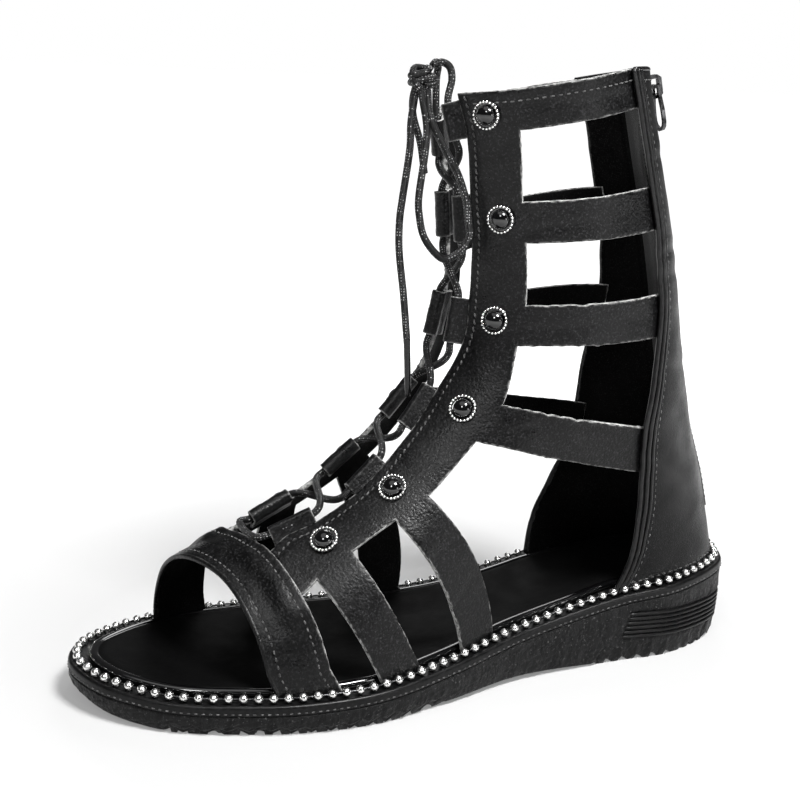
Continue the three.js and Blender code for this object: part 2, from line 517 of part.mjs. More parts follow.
function pointAtZ(line, z) {
  for (let i = 0; i < line.length - 1; i++) {
    const a = line[i], b = line[i + 1];
    if (b.z >= z) {
      const t = (z - a.z) / (b.z - a.z), dy = b.y - a.y, dz = b.z - a.z, l = Math.hypot(dy, dz);
      return { y: mix(a.y, b.y, t), z, round: mix(a.round, b.round, t), ny: -dz / l, nz: dy / l };
    }
  }
  return null;
}
function buildUpper() {
  const sheet = new Sheet();
  const girths = [];
  for (const g of [0, 0.1, 0.2, 0.26, 0.33, 0.41, 0.5, 0.6, 0.72, 0.86, 1]) girths.push(g);
  const all = [...girths.slice(1).map((g) => -g).reverse(), ...girths];
  const rows = [0, 0.35, 0.7, 1].map((t) => all.map((g) => vampVertex(g, t)));
  sheet.grid(rows);
  buildSide(sheet, 1);
  buildSide(sheet, -1);
  return sheet.thicken(LEATHER);
}

// ---------- lace loops, studs ----------
function ridgeAt(z) {
  for (let i = 0; i < RIDGE_LINE.length - 1; i++) {
    const a = RIDGE_LINE[i], b = RIDGE_LINE[i + 1];
    if (b.z >= z) {
      const t = (z - a.z) / (b.z - a.z), dy = b.y - a.y, dz = b.z - a.z, l = Math.hypot(dy, dz);
      return { y: mix(a.y, b.y, t), z, round: mix(a.round, b.round, t), ty: dy / l, tz: dz / l, ny: dz / l, nz: -dy / l };
    }
  }
  return null;
}
// points up a facing's front edge, on the outside of the leather
function facingEdge(side) {
  const list = [];
  for (let r = 0; r < LADDER.length; r++) for (let k = 0; k < (r + 1 < LADDER.length ? 8 : 1); k++) {
    const a = frontEdge(side, LADDER[r]), b = k ? frontEdge(side, LADDER[r + 1]) : a;
    list.push(onLast(side, ...mixPoint(a, b, k / 8)));
  }
  return list;
}
// a loop lies in front of the facing's edge: its centre, its axis up the edge, and the directions of
// its section towards the facing and away from the foot
function loopFrame(side, loop) {
  const edge = facingEdge(side);
  let m = 0;
  const height = side < 0 && loop.z > 180 ? loop.z - 5.5 : loop.z;
  while (edge[m].p.z < height) m++;
  const t = (height - edge[m - 1].p.z) / (edge[m].p.z - edge[m - 1].p.z), mid = edge[m - 1].p.clone().lerp(edge[m].p, t);
  const near = edge.filter((e) => e.p.distanceTo(mid) < loop.length / 2 + 1.5), a = near[0].p, b = near[near.length - 1].p;
  const up = b.clone().sub(a).normalize(), n = edge[m].n.clone().addScaledVector(up, -edge[m].n.dot(up)).normalize();
  const across = new THREE.Vector3().crossVectors(up, n);
  if (across.x * side < 0) across.negate();
  const out = n.clone();
  let closest = Infinity;
  for (const e of near) closest = Math.min(closest, e.p.clone().sub(mid).dot(across));
  const centre = mid.clone().addScaledVector(across, closest - LOOP_R - LOOP_CLEAR).addScaledVector(out, loop.proud);
  const inward = new THREE.Vector3(0, -out.y, -out.z).normalize();
  const end = new THREE.Vector2(LOOP_R + LOOP_CLEAR - 0.8, -LEATHER / 2 - loop.proud);
  return { centre, up, across, out, inward, end };
}
function buildLoop(side, loop) {
  const f = loopFrame(side, loop), end = f.end, toward = Math.atan2(end.y, end.x), half = 0.6;
  const opening = Math.asin(half / LOOP_R), shape = new THREE.Shape();
  const across = new THREE.Vector2(-Math.sin(toward), Math.cos(toward)).multiplyScalar(half);
  for (let k = 0; k <= 10; k++) {
    const angle = toward + opening + (2 * Math.PI - 2 * opening) * k / 10;
    const x = LOOP_R * Math.cos(angle), y = LOOP_R * Math.sin(angle);
    if (k === 0) shape.moveTo(x, y); else shape.lineTo(x, y);
  }
  if (end.length() > LOOP_R + 0.3) {
    shape.lineTo(end.x - across.x, end.y - across.y);
    shape.lineTo(end.x + across.x, end.y + across.y);
  }
  shape.closePath();
  const hole = new THREE.Path();
  for (let k = 0; k < 8; k++) {
    const x = LOOP_BORE * Math.cos(-k * Math.PI / 4), y = LOOP_BORE * Math.sin(-k * Math.PI / 4);
    if (k === 0) hole.moveTo(x, y); else hole.lineTo(x, y);
  }
  hole.closePath();
  shape.holes.push(hole);
  const g = new THREE.ExtrudeGeometry(shape, { depth: loop.length, bevelEnabled: false, steps: 1, curveSegments: 1 });
  g.translate(0, 0, -loop.length / 2);
  const z = new THREE.Vector3().crossVectors(f.across, f.out);
  return g.applyMatrix4(new THREE.Matrix4().makeBasis(f.across, f.out, z).setPosition(f.centre));
}
const studProfile = [[0, 0], [STUD_R, 0], [STUD_R, 0.9], [3.5, 1.3], [3.0, 1.6], [2.5, 2.7], [1.3, 3.4], [0, 3.6]];
function buildStud(side, stud) {
  const [u, v] = unroll(side, ...lowered(side, stud.y, stud.z)), { p, n } = onLast(side, u, v);
  const g = new THREE.LatheGeometry(studProfile.map(([r, h]) => new THREE.Vector2(r, h)), 10);
  const turnTo = new THREE.Quaternion().setFromUnitVectors(new THREE.Vector3(0, 1, 0), n);
  return g.applyQuaternion(turnTo).translate(p.x + n.x * 0.7, p.y + n.y * 0.7, p.z + n.z * 0.7);
}

// ---------- zip ----------
function backFrame(z) {
  const b = pointAtZ(BACK_LINE, z), out = new THREE.Vector3(0, -b.ny, -b.nz), up = new THREE.Vector3(0, -b.nz, b.ny).multiplyScalar(-1);
  if (up.z < 0) up.negate();
  return { at: new THREE.Vector3(0, b.y, b.z), out, up };
}
function buildZipChain() {
  const low = ZIP_FOOT_Z + 10, high = 209.0, n = 14;
  const tape = ZIP_HALF - 0.5, cols = [[-tape, -0.5], [-1.8, -0.5], [-1.5, 0.5], [1.5, 0.5], [1.8, -0.5], [tape, -0.5]];
  return gridSolid(cols.length - 1, n, 1, (i, j, k) => {
    const f = backFrame(low + (high - low) * j / n), [x, top] = cols[i], p = f.at.clone().addScaledVector(f.out, k === 0 ? -1.5 : top);
    return [-x, p.y, p.z];
  });
}
const SLIDER_Z = 202.6, SLIDER_LIFT = 0.9, SLIDER_THICK = 2.2, PULL_AXIS = 7.6, PULL_THICK = 1.3;
function sliderMatrix() {
  const f = backFrame(SLIDER_Z), x = new THREE.Vector3().crossVectors(f.up, f.out);
  return new THREE.Matrix4().makeBasis(x, f.up, f.out).setPosition(f.at);
}
function polygon(points) {
  const shape = new THREE.Shape();
  points.forEach(([x, y], k) => (k ? shape.lineTo(x, y) : shape.moveTo(x, y)));
  shape.closePath();
  return shape;
}
const flat = (shape, depth) => new THREE.ExtrudeGeometry(shape, { depth, bevelEnabled: false, steps: 1, curveSegments: 6 });
function solid(geometry) {
  const g = geometry.clone(); g.deleteAttribute('normal'); g.deleteAttribute('uv');
  const m = mergeVertices(g, 1e-5);
  return new wasm.Manifold(new wasm.Mesh({ numProp: 3, vertProperties: new Float32Array(m.attributes.position.array), triVerts: new Uint32Array(m.index.array) }));
}
function fromSolid(s) {
  const m = s.getMesh(), g = new THREE.BufferGeometry();
  g.setAttribute('position', new THREE.Float32BufferAttribute(m.vertProperties, 3));
  g.setIndex([...m.triVerts]);
  return g;
}
function buildSlider() {
  const body = flat(polygon([[-3.1, -5.5], [3.1, -5.5], [3.5, -1.5], [4.3, 2.5], [3.9, 5.2], [2.4, 5.9], [-2.4, 5.9], [-3.9, 5.2], [-4.3, 2.5], [-3.5, -1.5]]), SLIDER_THICK);
  body.translate(0, 0, SLIDER_LIFT);
  const base = SLIDER_LIFT + SLIDER_THICK - 0.4, arch = flat(polygon([[4.8, base], [4.6, base + 5.6], [3.4, base + 7.2], [-2.4, base + 7.2], [-3.6, base + 5.6], [-3.8, base],
    [-2.5, base], [-2.4, base + 5.1], [-1.8, base + 6.0], [2.8, base + 6.0], [3.3, base + 5.1], [3.4, base]]), 2.0);
  // the arch's outline is drawn along the zip and outwards; stand it up in the slider's middle
  arch.applyMatrix4(new THREE.Matrix4().makeBasis(new THREE.Vector3(0, 1, 0), new THREE.Vector3(0, 0, 1), new THREE.Vector3(1, 0, 0)));
  arch.translate(-1.0, 0, 0);
  return fromSolid(solid(body).add(solid(arch))).applyMatrix4(sliderMatrix());
}
function buildPull() {
  const outer = [], inner = [];
  const half = (t) => 2.5 + 0.9 * smooth((t - 3) / 7);
  for (let k = 0; k <= 6; k++) { const t = k / 6 * 13; outer.push([half(t), 0.6 - t]); inner.push([half(t) - 1.1, Math.min(-0.6, 0.6 - t)]); }
  for (let k = 1; k < 6; k++) { const a = k / 6 * Math.PI; outer.push([3.4 * Math.cos(a), -12.4 - 3.6 * Math.sin(a)]); }
  for (let k = 6; k >= 0; k--) { const t = k / 6 * 13; outer.push([-half(t), 0.6 - t]); }
  const hole = [];
  for (let k = 0; k <= 5; k++) { const t = 1.2 + k / 5 * 11.8; hole.push([half(t) - 1.1, 0.6 - t]); }
  for (let k = 1; k < 5; k++) { const a = k / 5 * Math.PI; hole.push([2.3 * Math.cos(a), -12.4 - 2.4 * Math.sin(a)]); }
  for (let k = 5; k >= 0; k--) { const t = 1.2 + k / 5 * 11.8; hole.push([1.1 - half(t), 0.6 - t]); }
  const shape = polygon(outer);
  shape.holes.push(new THREE.Path(hole.reverse().map(([x, y]) => new THREE.Vector2(x, y))));
  const g = flat(shape, PULL_THICK);
  g.translate(0, 0.5, PULL_AXIS - PULL_THICK / 2);
  return g.applyMatrix4(sliderMatrix());
}

// ---------- lace ----------
// a path whose steps fall on its own points
class Through extends THREE.Curve {
  constructor(points) { super(); this.points = points; }
  getPoint(t) {
    const last = this.points.length - 1, k = Math.min(Math.floor(t * last + 1e-9), last - 1);
    return this.points[k].clone().lerp(this.points[k + 1], t * last - k);
  }
  getPointAt(u) { return this.getPoint(u); }
  getTangentAt(u) {
    const last = this.points.length - 1, k = Math.round(u * last), p = this.points;
    const a = k > 0 ? p[k].clone().sub(p[k - 1]).normalize() : new THREE.Vector3();
    const b = k < last ? p[k + 1].clone().sub(p[k]).normalize() : new THREE.Vector3();
    return a.add(b).normalize();
  }
}
function tube(points, radius, steps) {
  const curve = steps ? new THREE.CatmullRomCurve3(points, false, 'centripetal') : new Through(points), section = new THREE.Shape();
  for (let k = 0; k < 8; k++) {
    const a = k * Math.PI / 4 + Math.PI / 8, x = radius * Math.cos(a), y = radius * Math.sin(a);
    if (k === 0) section.moveTo(x, y); else section.lineTo(x, y);
  }
  section.closePath();
  return new THREE.ExtrudeGeometry(section, { steps: steps || points.length - 1, extrudePath: curve, bevelEnabled: false });
}
function throughLoop(side, loop, downwards) {
  const f = loopFrame(side, loop), list = [-0.5, 0.5].map((t) => f.centre.clone().addScaledVector(f.up, t * (loop.length + 1.6)));
  return downwards ? list.reverse() : list;
}
// from a loop's foot on one side to the top of the next loop down on the other
function crossing(upper, lower, sideUp, sideDown, over) {
  const a = loopFrame(sideUp, upper), b = loopFrame(sideDown, lower);
  const p = throughLoop(sideUp, upper, true)[1], q = throughLoop(sideDown, lower, true)[0], reach = p.distanceTo(q) * 0.3;
  const curve = new THREE.CubicBezierCurve3(p, p.clone().addScaledVector(a.up, -reach), q.clone().addScaledVector(b.up, reach), q);
  const push = a.inward.clone().add(b.inward).normalize().multiplyScalar(over ? -1.7 : 1.7);
  return [0.2, 0.5, 0.8].map((t) => curve.getPoint(t).addScaledVector(push, Math.sin(Math.PI * t)));
}
const KNOT = new THREE.Vector3(0, -9.2, 203.8), KNOT_SIZE = new THREE.Vector3(4.4, 5.4, 4.8);
function lacePoints() {
  const pts = [], n = LOOPS.length, end = (s) => [new THREE.Vector3(s * 1.9, -3.6, 209.6), new THREE.Vector3(s * 4.2, -1.6, 208.4), new THREE.Vector3(s * 5.9, -1.2, 204.6)];
  pts.push(...end(-1));
  let side = -1;
  for (let k = 0; k < n; k++) {
    pts.push(...throughLoop(side, LOOPS[k], true));
    if (k + 1 < n) pts.push(...crossing(LOOPS[k], LOOPS[k + 1], side, -side, k % 2 === 0));
    side = -side;
  }
  // round the bottom, from the last loop on one side to the last on the other
  const last = loopFrame(1, LOOPS[n - 1]), drop = LOOPS[n - 1].length / 2;
  for (const [x, d] of [[0.8, 4.4], [0, 5.6], [-0.8, 4.4]]) {
    pts.push(new THREE.Vector3(x * last.centre.x, last.centre.y, last.centre.z).addScaledVector(last.up, -drop - d));
  }
  for (let k = n - 1; k >= 0; k--) {
    pts.push(...throughLoop(side, LOOPS[k], false));
    if (k > 0) pts.push(...crossing(LOOPS[k - 1], LOOPS[k], -side, side, (k - 1) % 2 !== 0).reverse());
    side = -side;
  }
  pts.push(...end(1).reverse());
  return pts;
}
const v3 = (list) => list.map(([x, y, z]) => new THREE.Vector3(x, y, z));
// free lace, from the knot: the near bow loop, the long end with its tip, and the short end
const BOW = v3([[4.2, -10.4, 196.8], [6.6, -9.6, 187.0], [8.4, -12.3, 165.0], [8.8, -12.0, 160.5], [9.6, -10.4, 153.6],
  [10.8, -6.6, 148.2], [12.0, -3.8, 146.2], [13.4, -0.8, 147.4], [14.6, 2.4, 150.6], [15.0, 3.8, 154.2], [14.4, 3.2, 159.4],
  [13.4, 2.8, 165.0], [10.8, 0.4, 174.0], [8.4, -5.0, 184.0], [6.4, -8.8, 192.6]]);
const LONG_END = v3([[1.2, -12.2, 197.4], [1.6, -13.2, 190.0], [2.6, -13.6, 182.0], [3.4, -15.9, 165.0], [3.6, -16.6, 159.0], [3.6, -16.4, 149.0],
  [3.2, -13.8, 133.0], [2.8, -11.8, 119.0]]);
const TIP = v3([[2.75, -11.6, 117.6], [2.2, -9.9, 97.6]]);
const SHORT_END = v3([[-2.6, -11.0, 197.6], [-4.4, -9.8, 192.0], [-5.0, -6.4, 183.0], [-4.6, -4.6, 173.0]]);
function buildKnot() {
  const g = new THREE.SphereGeometry(1, 10, 7);
  g.scale(KNOT_SIZE.x, KNOT_SIZE.y, KNOT_SIZE.z);
  return g.translate(KNOT.x, KNOT.y, KNOT.z);
}

// ---------- assembly ----------
const black = { leather: 0x1b1b1d, patent: 0x121214, rubber: 0x1d1d1f, steel: 0x9a9b9e, gun: 0x3a3a3e, lace: 0x202023 };
const mat = (color, roughness, metalness = 0) => new THREE.MeshStandardMaterial({ color, roughness, metalness });
const group = new THREE.Group();
function place(name, geometry, material) {
  const g = geometry.clone();
  for (const k of Object.keys(g.attributes)) if (k !== 'position') g.deleteAttribute(k);
  const m = new THREE.Mesh(mergeVertices(g, 1e-5), material);
  m.name = name;
  group.add(m);
  return m;
}
place('outsole', buildOutsole(), mat(black.rubber, 0.8));
place('insole', buildInsole(), mat(black.patent, 0.4));
place('bead_chain', buildBeadChain(), mat(black.steel, 0.25, 0.9));
place('upper', buildUpper(), mat(black.leather, 0.5));
for (const loop of LOOPS) {
  place('lace_loop_outer_' + loop.name, buildLoop(1, loop), mat(black.leather, 0.5));
  place('lace_loop_inner_' + loop.name, buildLoop(-1, loop), mat(black.leather, 0.5));
}
for (const stud of STUDS) {
  place('stud_outer_' + stud.name, buildStud(1, stud), mat(black.gun, 0.2, 0.3));
  place('stud_inner_' + stud.name, buildStud(-1, stud), mat(black.gun, 0.2, 0.3));
}
place('zip_chain', buildZipChain(), mat(black.gun, 0.4, 0.5));
place('zip_slider', buildSlider(), mat(black.gun, 0.3, 0.8));
place('zip_pull', buildPull(), mat(black.gun, 0.3, 0.8));
place('lace', tube(lacePoints(), LACE_R), mat(black.lace, 0.7));
place('lace_knot', buildKnot(), mat(black.lace, 0.7));
place('lace_bow_loop', tube(BOW, LACE_R, 22), mat(black.lace, 0.7));
place('lace_end_long', tube(LONG_END, LACE_R, 14), mat(black.lace, 0.7));
place('lace_end_short', tube(SHORT_END, LACE_R, 5), mat(black.lace, 0.7));
place('lace_tip', tube(TIP, 1.05, 1), mat(black.gun, 0.4));

// origin: middle of the sole's outline, on the ground
const box = new THREE.Box3().setFromObject(group.children[0]);
group.position.set(-(box.min.x + box.max.x) / 2, -(box.min.y + box.max.y) / 2, 0);
export default group;
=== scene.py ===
# Gladiator sandal, left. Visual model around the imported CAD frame. All shapes are worked out in millimetres in
# the source's own coordinates (toe -Y, heel +Y, outer side +X) and moved to the frame by SHIFT.
import math
import bpy
import numpy as np
from mathutils import Matrix, Vector, kdtree


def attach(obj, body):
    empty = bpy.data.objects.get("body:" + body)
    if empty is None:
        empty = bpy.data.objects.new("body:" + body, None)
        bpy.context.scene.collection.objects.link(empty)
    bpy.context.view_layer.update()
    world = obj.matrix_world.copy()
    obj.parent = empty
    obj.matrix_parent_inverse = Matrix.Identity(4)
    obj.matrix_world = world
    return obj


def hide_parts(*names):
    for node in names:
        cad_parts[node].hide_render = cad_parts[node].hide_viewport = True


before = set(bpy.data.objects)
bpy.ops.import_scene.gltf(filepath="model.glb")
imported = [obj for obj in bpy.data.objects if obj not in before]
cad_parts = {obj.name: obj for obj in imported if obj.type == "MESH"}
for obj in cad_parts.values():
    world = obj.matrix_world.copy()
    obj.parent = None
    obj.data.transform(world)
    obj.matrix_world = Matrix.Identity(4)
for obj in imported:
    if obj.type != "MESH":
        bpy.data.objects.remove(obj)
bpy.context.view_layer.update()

SHIFT = np.array([-3.44, -0.45, 0.0])
LEATHER = 1.7

# ---------------------------------------------------------------- camera and light
AZ, PITCH, ROLL = math.radians(65.5177), math.radians(13.1983), math.radians(2.6198)
eye = (np.array([427.488, -206.506, 206.050]) + SHIFT) / 1000
back = np.array([math.sin(AZ) * math.cos(PITCH), -math.cos(AZ) * math.cos(PITCH), math.sin(PITCH)])
right = np.cross(-back, [0, 0, 1.0]); right /= np.linalg.norm(right)
up = np.cross(right, -back)
r2 = math.cos(ROLL) * right + math.sin(ROLL) * up
u2 = -math.sin(ROLL) * right + math.cos(ROLL) * up
cam = bpy.data.objects.new("camera", bpy.data.cameras.new("camera"))
cam.data.lens = 63.0
cam.data.sensor_width = 36.0
cam.data.clip_start, cam.data.clip_end = 0.02, 60
cam.matrix_world = Matrix(((r2[0], u2[0], back[0], eye[0]), (r2[1], u2[1], back[1], eye[1]),
                           (r2[2], u2[2], back[2], eye[2]), (0, 0, 0, 1)))
bpy.context.scene.collection.objects.link(cam)
bpy.context.scene.camera = cam
bpy.context.scene.view_settings.view_transform = "Standard"

# ---------------------------------------------------------------- tables of the part
SOLE = np.array([  # y, outer, inner, rim, ground
    [-121.5, 10.0, 16.6, 12.5, 3.2], [-116.0, 18.8, 24.0, 11.9, 1.6], [-100.5, 32.5, 35.5, 10.6, 0.0],
    [-80.0, 41.7, 41.4, 10.5, 0.0], [-59.7, 47.4, 41.6, 10.8, 0.0], [-34.4, 48.6, 37.6, 11.9, 0.0],
    [-4.6, 41.5, 30.0, 14.6, 1.0], [25.0, 33.2, 25.9, 18.9, 1.5], [64.7, 29.8, 29.2, 25.5, 0.0],
    [90.0, 29.5, 30.0, 28.0, 0.0], [115.4, 18.9, 20.2, 29.9, 0.0], [122.0, 11.3, 12.6, 30.2, 0.5]])
TOE_TIP = (-3.6, -124.9, 13.0, 4.6)
HEEL_TIP = (-0.3, 125.8, 30.4, 1.4)
RIDGE = np.array([[-118.0, 30.5, 33], [-107.0, 35.8, 33], [-96.0, 41.0, 34], [-84.5, 46.8, 35], [-72.0, 51.5, 36],
    [-60.0, 56.5, 37], [-47.0, 63.5, 38], [-32.0, 74.5, 39], [-18.0, 87.5, 40], [-7.0, 99.5, 41], [1.0, 113.0, 43],
    [5.5, 132.0, 43], [5.2, 156.0, 42], [2.5, 177.0, 40], [-1.0, 198.0, 39], [-3.5, 216.0, 39]])
BACK = np.array([[121.3, 22.0, 40], [119.9, 36.0, 40], [116.4, 50.0, 40], [110.9, 66.0, 40], [103.0, 86.0, 41], [96.5, 112.0, 42], [92.0, 135.0, 42], [86.6, 158.0, 42], [80.0, 182.0, 41], [73.9, 205.0, 40], [70.6, 221.0, 40]])
LEG = np.array([[0, 36], [70, 36], [90, 35], [120, 34.5], [160, 34], [200, 33.5], [225, 33.5]], float)
VAMP = np.array([[-1.0, -88.0, -69.5], [-0.6, -88.6, -71.0], [-0.3, -88.2, -71.0], [0.0, -84.8, -68.3],
    [0.3, -77.6, -61.6], [0.6, -72.1, -54.4], [1.0, -67.1, -47.6]])
LADDER = [  # name, stitch y z, rear y z, outer end y z, inner end y z, bow
    ("rung2_front", -56.8, 54.6, -52.8, 46.9, -33.0, 12.2, -50.5, 11.2, 0.5),
    ("rung2_rear", -46.5, 59.3, -40.9, 54.5, -18.0, 13.2, -36.0, 12.0, 0.5),
    ("rung3_front", -33.2, 67.6, -25.2, 63.8, -0.1, 15.2, -13.0, 13.8, 3.8),
    ("rung3_rear", -24.7, 74.6, -13.8, 70.6, 13.0, 17.1, 1.0, 15.4, 5.5),
    ("rung4_low", -10.5, 89.4, 4.0, 87.7, 68.5, 72.7, 74.5, 66.0, 0),
    ("rung4_top", -1.0, 102.5, 12.8, 99.1, 66.0, 89.3, 78.5, 83.0, 0),
    ("rung5_low", 7.0, 119.5, 18.1, 119.0, 69.8, 121.2, 80.5, 117.0, 0),
    ("rung5_top", 8.6, 131.5, 20.2, 131.9, 70.0, 135.2, 81.0, 130.6, 0),
    ("rung6_low", 8.5, 152.3, 19.2, 153.1, 67.3, 157.7, 78.0, 152.5, 0),
    ("rung6_top", 7.0, 166.0, 17.2, 165.9, 63.6, 171.5, 74.0, 167.5, 0),
    ("collar_low", 3.9, 188.0, 14.1, 189.5, 56.2, 198.1, 67.5, 192.5, 0),
    ("collar_top", 0.8, 199.8, 11.0, 201.6, 52.2, 209.9, 62.0, 205.5, 0)]
RUNGS = [("rung2", 0, 1), ("rung3", 2, 3), ("rung4", 4, 5), ("rung5", 6, 7), ("rung6", 8, 9), ("collar", 10, 11)]
COUNTER_FOOT = [(71.5, 56.0, 66.5, 54.0, 54.0), (71.5, 43.0, 60.5, 43.0, 44.0), (69.0, 34.5, 58.0, 34.0, 37.0),
    (64.3, 25.8, 57.0, 24.7, 30.8)]
LOOPS = [(191.8, 1.1, 12.0), (159.5, 1.5, 15.0), (124.5, 1.9, 15.0), (95.0, 0.3, 15.5), (73.5, -0.4, 14.0), (56.8, 0.6, 15.0)]
STUDS = [(6.1, 193.6), (12.7, 160.3), (12.7, 126.5), (1.8, 97.0), (-23.5, 71.9), (-47.3, 56.2)]
LOOP_R, LOOP_CLEAR, LOOP_BORE, LACE_R, STUD_R = 2.6, 1.2, 1.8, 1.25, 4.9
ZIP_HALF, ZIP_FOOT_Z, MARGIN = 3.6, 48, 3.0


def hermite(k, v, at):
    """cubic through a table's rows, clamped at its ends"""
    k, v, at = np.asarray(k, float), np.asarray(v, float), np.asarray(at, float)
    i = np.searchsorted(k[1:-1], at, "left")
    n = len(k)
    lo, hi = np.maximum(np.arange(n) - 1, 0), np.minimum(np.arange(n) + 1, n - 1)
    s = (v[hi] - v[lo]) / (k[hi] - k[lo])
    h = k[i + 1] - k[i]
    t = np.clip((at - k[i]) / h, 0, 1)
    t2, t3 = t * t, t * t * t
    return (2*t3 - 3*t2 + 1) * v[i] + (t3 - 2*t2 + t) * h * s[i] + (3*t2 - 2*t3) * v[i + 1] + (t3 - t2) * h * s[i + 1]


def catmull(points, count, closed=False):
    """centripetal Catmull-Rom, count steps by parameter"""
    P = np.asarray(points, float)
    l = len(P)
    out = []
    for d in range(count if closed else count + 1):
        p = (l if closed else l - 1) * d / count
        i = int(p); w = p - i
        if not closed and i >= l - 1:
            i, w = l - 2, 1.0
        if closed:
            q = [P[(i - 1) % l], P[i % l], P[(i + 1) % l], P[(i + 2) % l]]
        else:
            q = [P[i - 1] if i > 0 else 2 * P[0] - P[1], P[i], P[i + 1], P[i + 2] if i + 2 < l else 2 * P[-1] - P[-2]]
        dt = [max(np.sum((q[k + 1] - q[k]) ** 2) ** 0.25, 1e-4) for k in range(3)]
        t1 = ((q[1] - q[0]) / dt[0] - (q[2] - q[0]) / (dt[0] + dt[1]) + (q[2] - q[1]) / dt[1]) * dt[1]
        t2 = ((q[2] - q[1]) / dt[1] - (q[3] - q[1]) / (dt[1] + dt[2]) + (q[3] - q[2]) / dt[2]) * dt[1]
        out.append(q[1] + t1 * w + (-3*q[1] + 3*q[2] - 2*t1 - t2) * w**2 + (2*q[1] - 2*q[2] + t1 + t2) * w**3)
    return np.array(out)


def resample(P, step=None, count=None):
    P = np.asarray(P, float)
    L = np.concatenate([[0], np.cumsum(np.linalg.norm(np.diff(P, axis=0), axis=1))])
    n = count or max(2, int(round(L[-1] / step)) + 1)
    s = np.linspace(0, L[-1], n)
    return np.stack([np.interp(s, L, P[:, k]) for k in range(P.shape[1])], 1)


smooth = lambda t: np.clip(t, 0, 1) ** 2 * (3 - 2 * np.clip(t, 0, 1))
OUT = catmull([(s[1], s[0]) for s in SOLE[::-1]] + [TOE_TIP[:2]] + [(-s[2], s[0]) for s in SOLE] + [HEEL_TIP[:2]], 720, True)


def inset(distance, ring=None):
    ring = OUT if ring is None else ring
    t = np.roll(ring, -2, 0) - np.roll(ring, 2, 0)
    t /= np.linalg.norm(t, axis=1)[:, None]
    return ring + np.stack([t[:, 1], -t[:, 0]], 1) * distance


YGRID = np.arange(-124.8, 125.7, 0.25)
_half = {}


def half_widths(y, distance):
    if distance not in _half:
        a = inset(distance); b = np.roll(a, -1, 0)
        lo, hi = [], []
        for yy in YGRID:
            m = ((a[:, 1] - yy) * (b[:, 1] - yy) <= 0) & (a[:, 1] != b[:, 1])
            x = a[m, 0] + (b[m, 0] - a[m, 0]) * (yy - a[m, 1]) / (b[m, 1] - a[m, 1])
            lo.append(x.min() if len(x) else 0.0); hi.append(x.max() if len(x) else 0.0)
        _half[distance] = (np.array(lo), np.array(hi))
    lo, hi = _half[distance]
    return np.interp(y, YGRID, lo), np.interp(y, YGRID, hi)


_ky = np.concatenate([[TOE_TIP[1]], SOLE[:, 0], [HEEL_TIP[1]]])
rim_z = lambda y: hermite(_ky, np.concatenate([[TOE_TIP[2]], SOLE[:, 3], [HEEL_TIP[2]]]), y)
ground_z = lambda y: np.maximum(0, hermite(_ky, np.concatenate([[TOE_TIP[3]], SOLE[:, 4], [HEEL_TIP[3]]]), y))


def profile(rows):
    n = len(rows); out = []
    for i in range(n - 1):
        p0, p1, p2, p3 = rows[max(i - 1, 0)], rows[i], rows[i + 1], rows[min(i + 2, n - 1)]
        for k in range(24):
            f = k / 24
            out.append(0.5 * (2*p1 + (p2 - p0)*f + (2*p0 - 5*p1 + 4*p2 - p3)*f*f + (3*p1 - p0 - 3*p2 + p3)*f**3))
    out.append(rows[-1].astype(float))
    return np.array(out)


RL, BL = profile(RIDGE), profile(BACK)


class Near:
    pass


def nearest(line, y, z, sign):
    y, z = np.ravel(y).astype(float), np.ravel(z).astype(float)
    a, d = line[:-1], line[1:] - line[:-1]
    l2 = d[:, 0] ** 2 + d[:, 1] ** 2
    r = Near(); N = len(y)
    for k in ("d", "fy", "fz", "ny", "nz", "round", "s"):
        setattr(r, k, np.empty(N))
    for c in range(0, N, 6000):
        s = slice(c, min(N, c + 6000)); Y, Z = y[s, None], z[s, None]
        t = np.clip(((Y - a[:, 0]) * d[:, 0] + (Z - a[:, 1]) * d[:, 1]) / l2, 0, 1)
        fy, fz = a[:, 0] + d[:, 0] * t, a[:, 1] + d[:, 1] * t
        dd = (Y - fy) ** 2 + (Z - fz) ** 2
        j = dd.argmin(1); m = np.arange(len(j))
        l = np.sqrt(l2[j])
        r.fy[s], r.fz[s], r.d[s] = fy[m, j], fz[m, j], np.sqrt(dd[m, j])
        r.ny[s], r.nz[s] = sign * d[j, 1] / l, -sign * d[j, 0] / l
        r.round[s] = a[j, 2] + d[j, 2] * t[m, j]
    r.s = (y - r.fy) * r.ny + (z - r.fz) * r.nz
    r.signed = np.where(r.s < 0, -r.d, r.d)
    return r


to_ridge = lambda y, z: nearest(RL, y, z, 1)
to_back = lambda y, z: nearest(BL, y, z, -1)


def full_width(side, y, z):
    lo, hi = half_widths(np.clip(y, -112, 70), 4.5)
    foot = hi if side > 0 else -lo
    t = smooth((z - 45) / 55)
    return foot * (1 - t) + np.interp(z, LEG[:, 0], LEG[:, 1]) * t


turn = lambda d, r: np.sqrt(np.maximum(0, 1 - (1 - np.clip(d / r, 0, 1)) ** 2))


def surface_x(side, y, z):
    f, b = to_ridge(y, z), to_back(y, z)
    return side * full_width(side, np.ravel(y), np.ravel(z)) * turn(np.maximum(0, f.signed), f.round) * turn(np.maximum(0, b.signed), b.round)


quarter = lambda r, w: math.pi / 2 * np.sqrt((r * r + w * w) / 2)


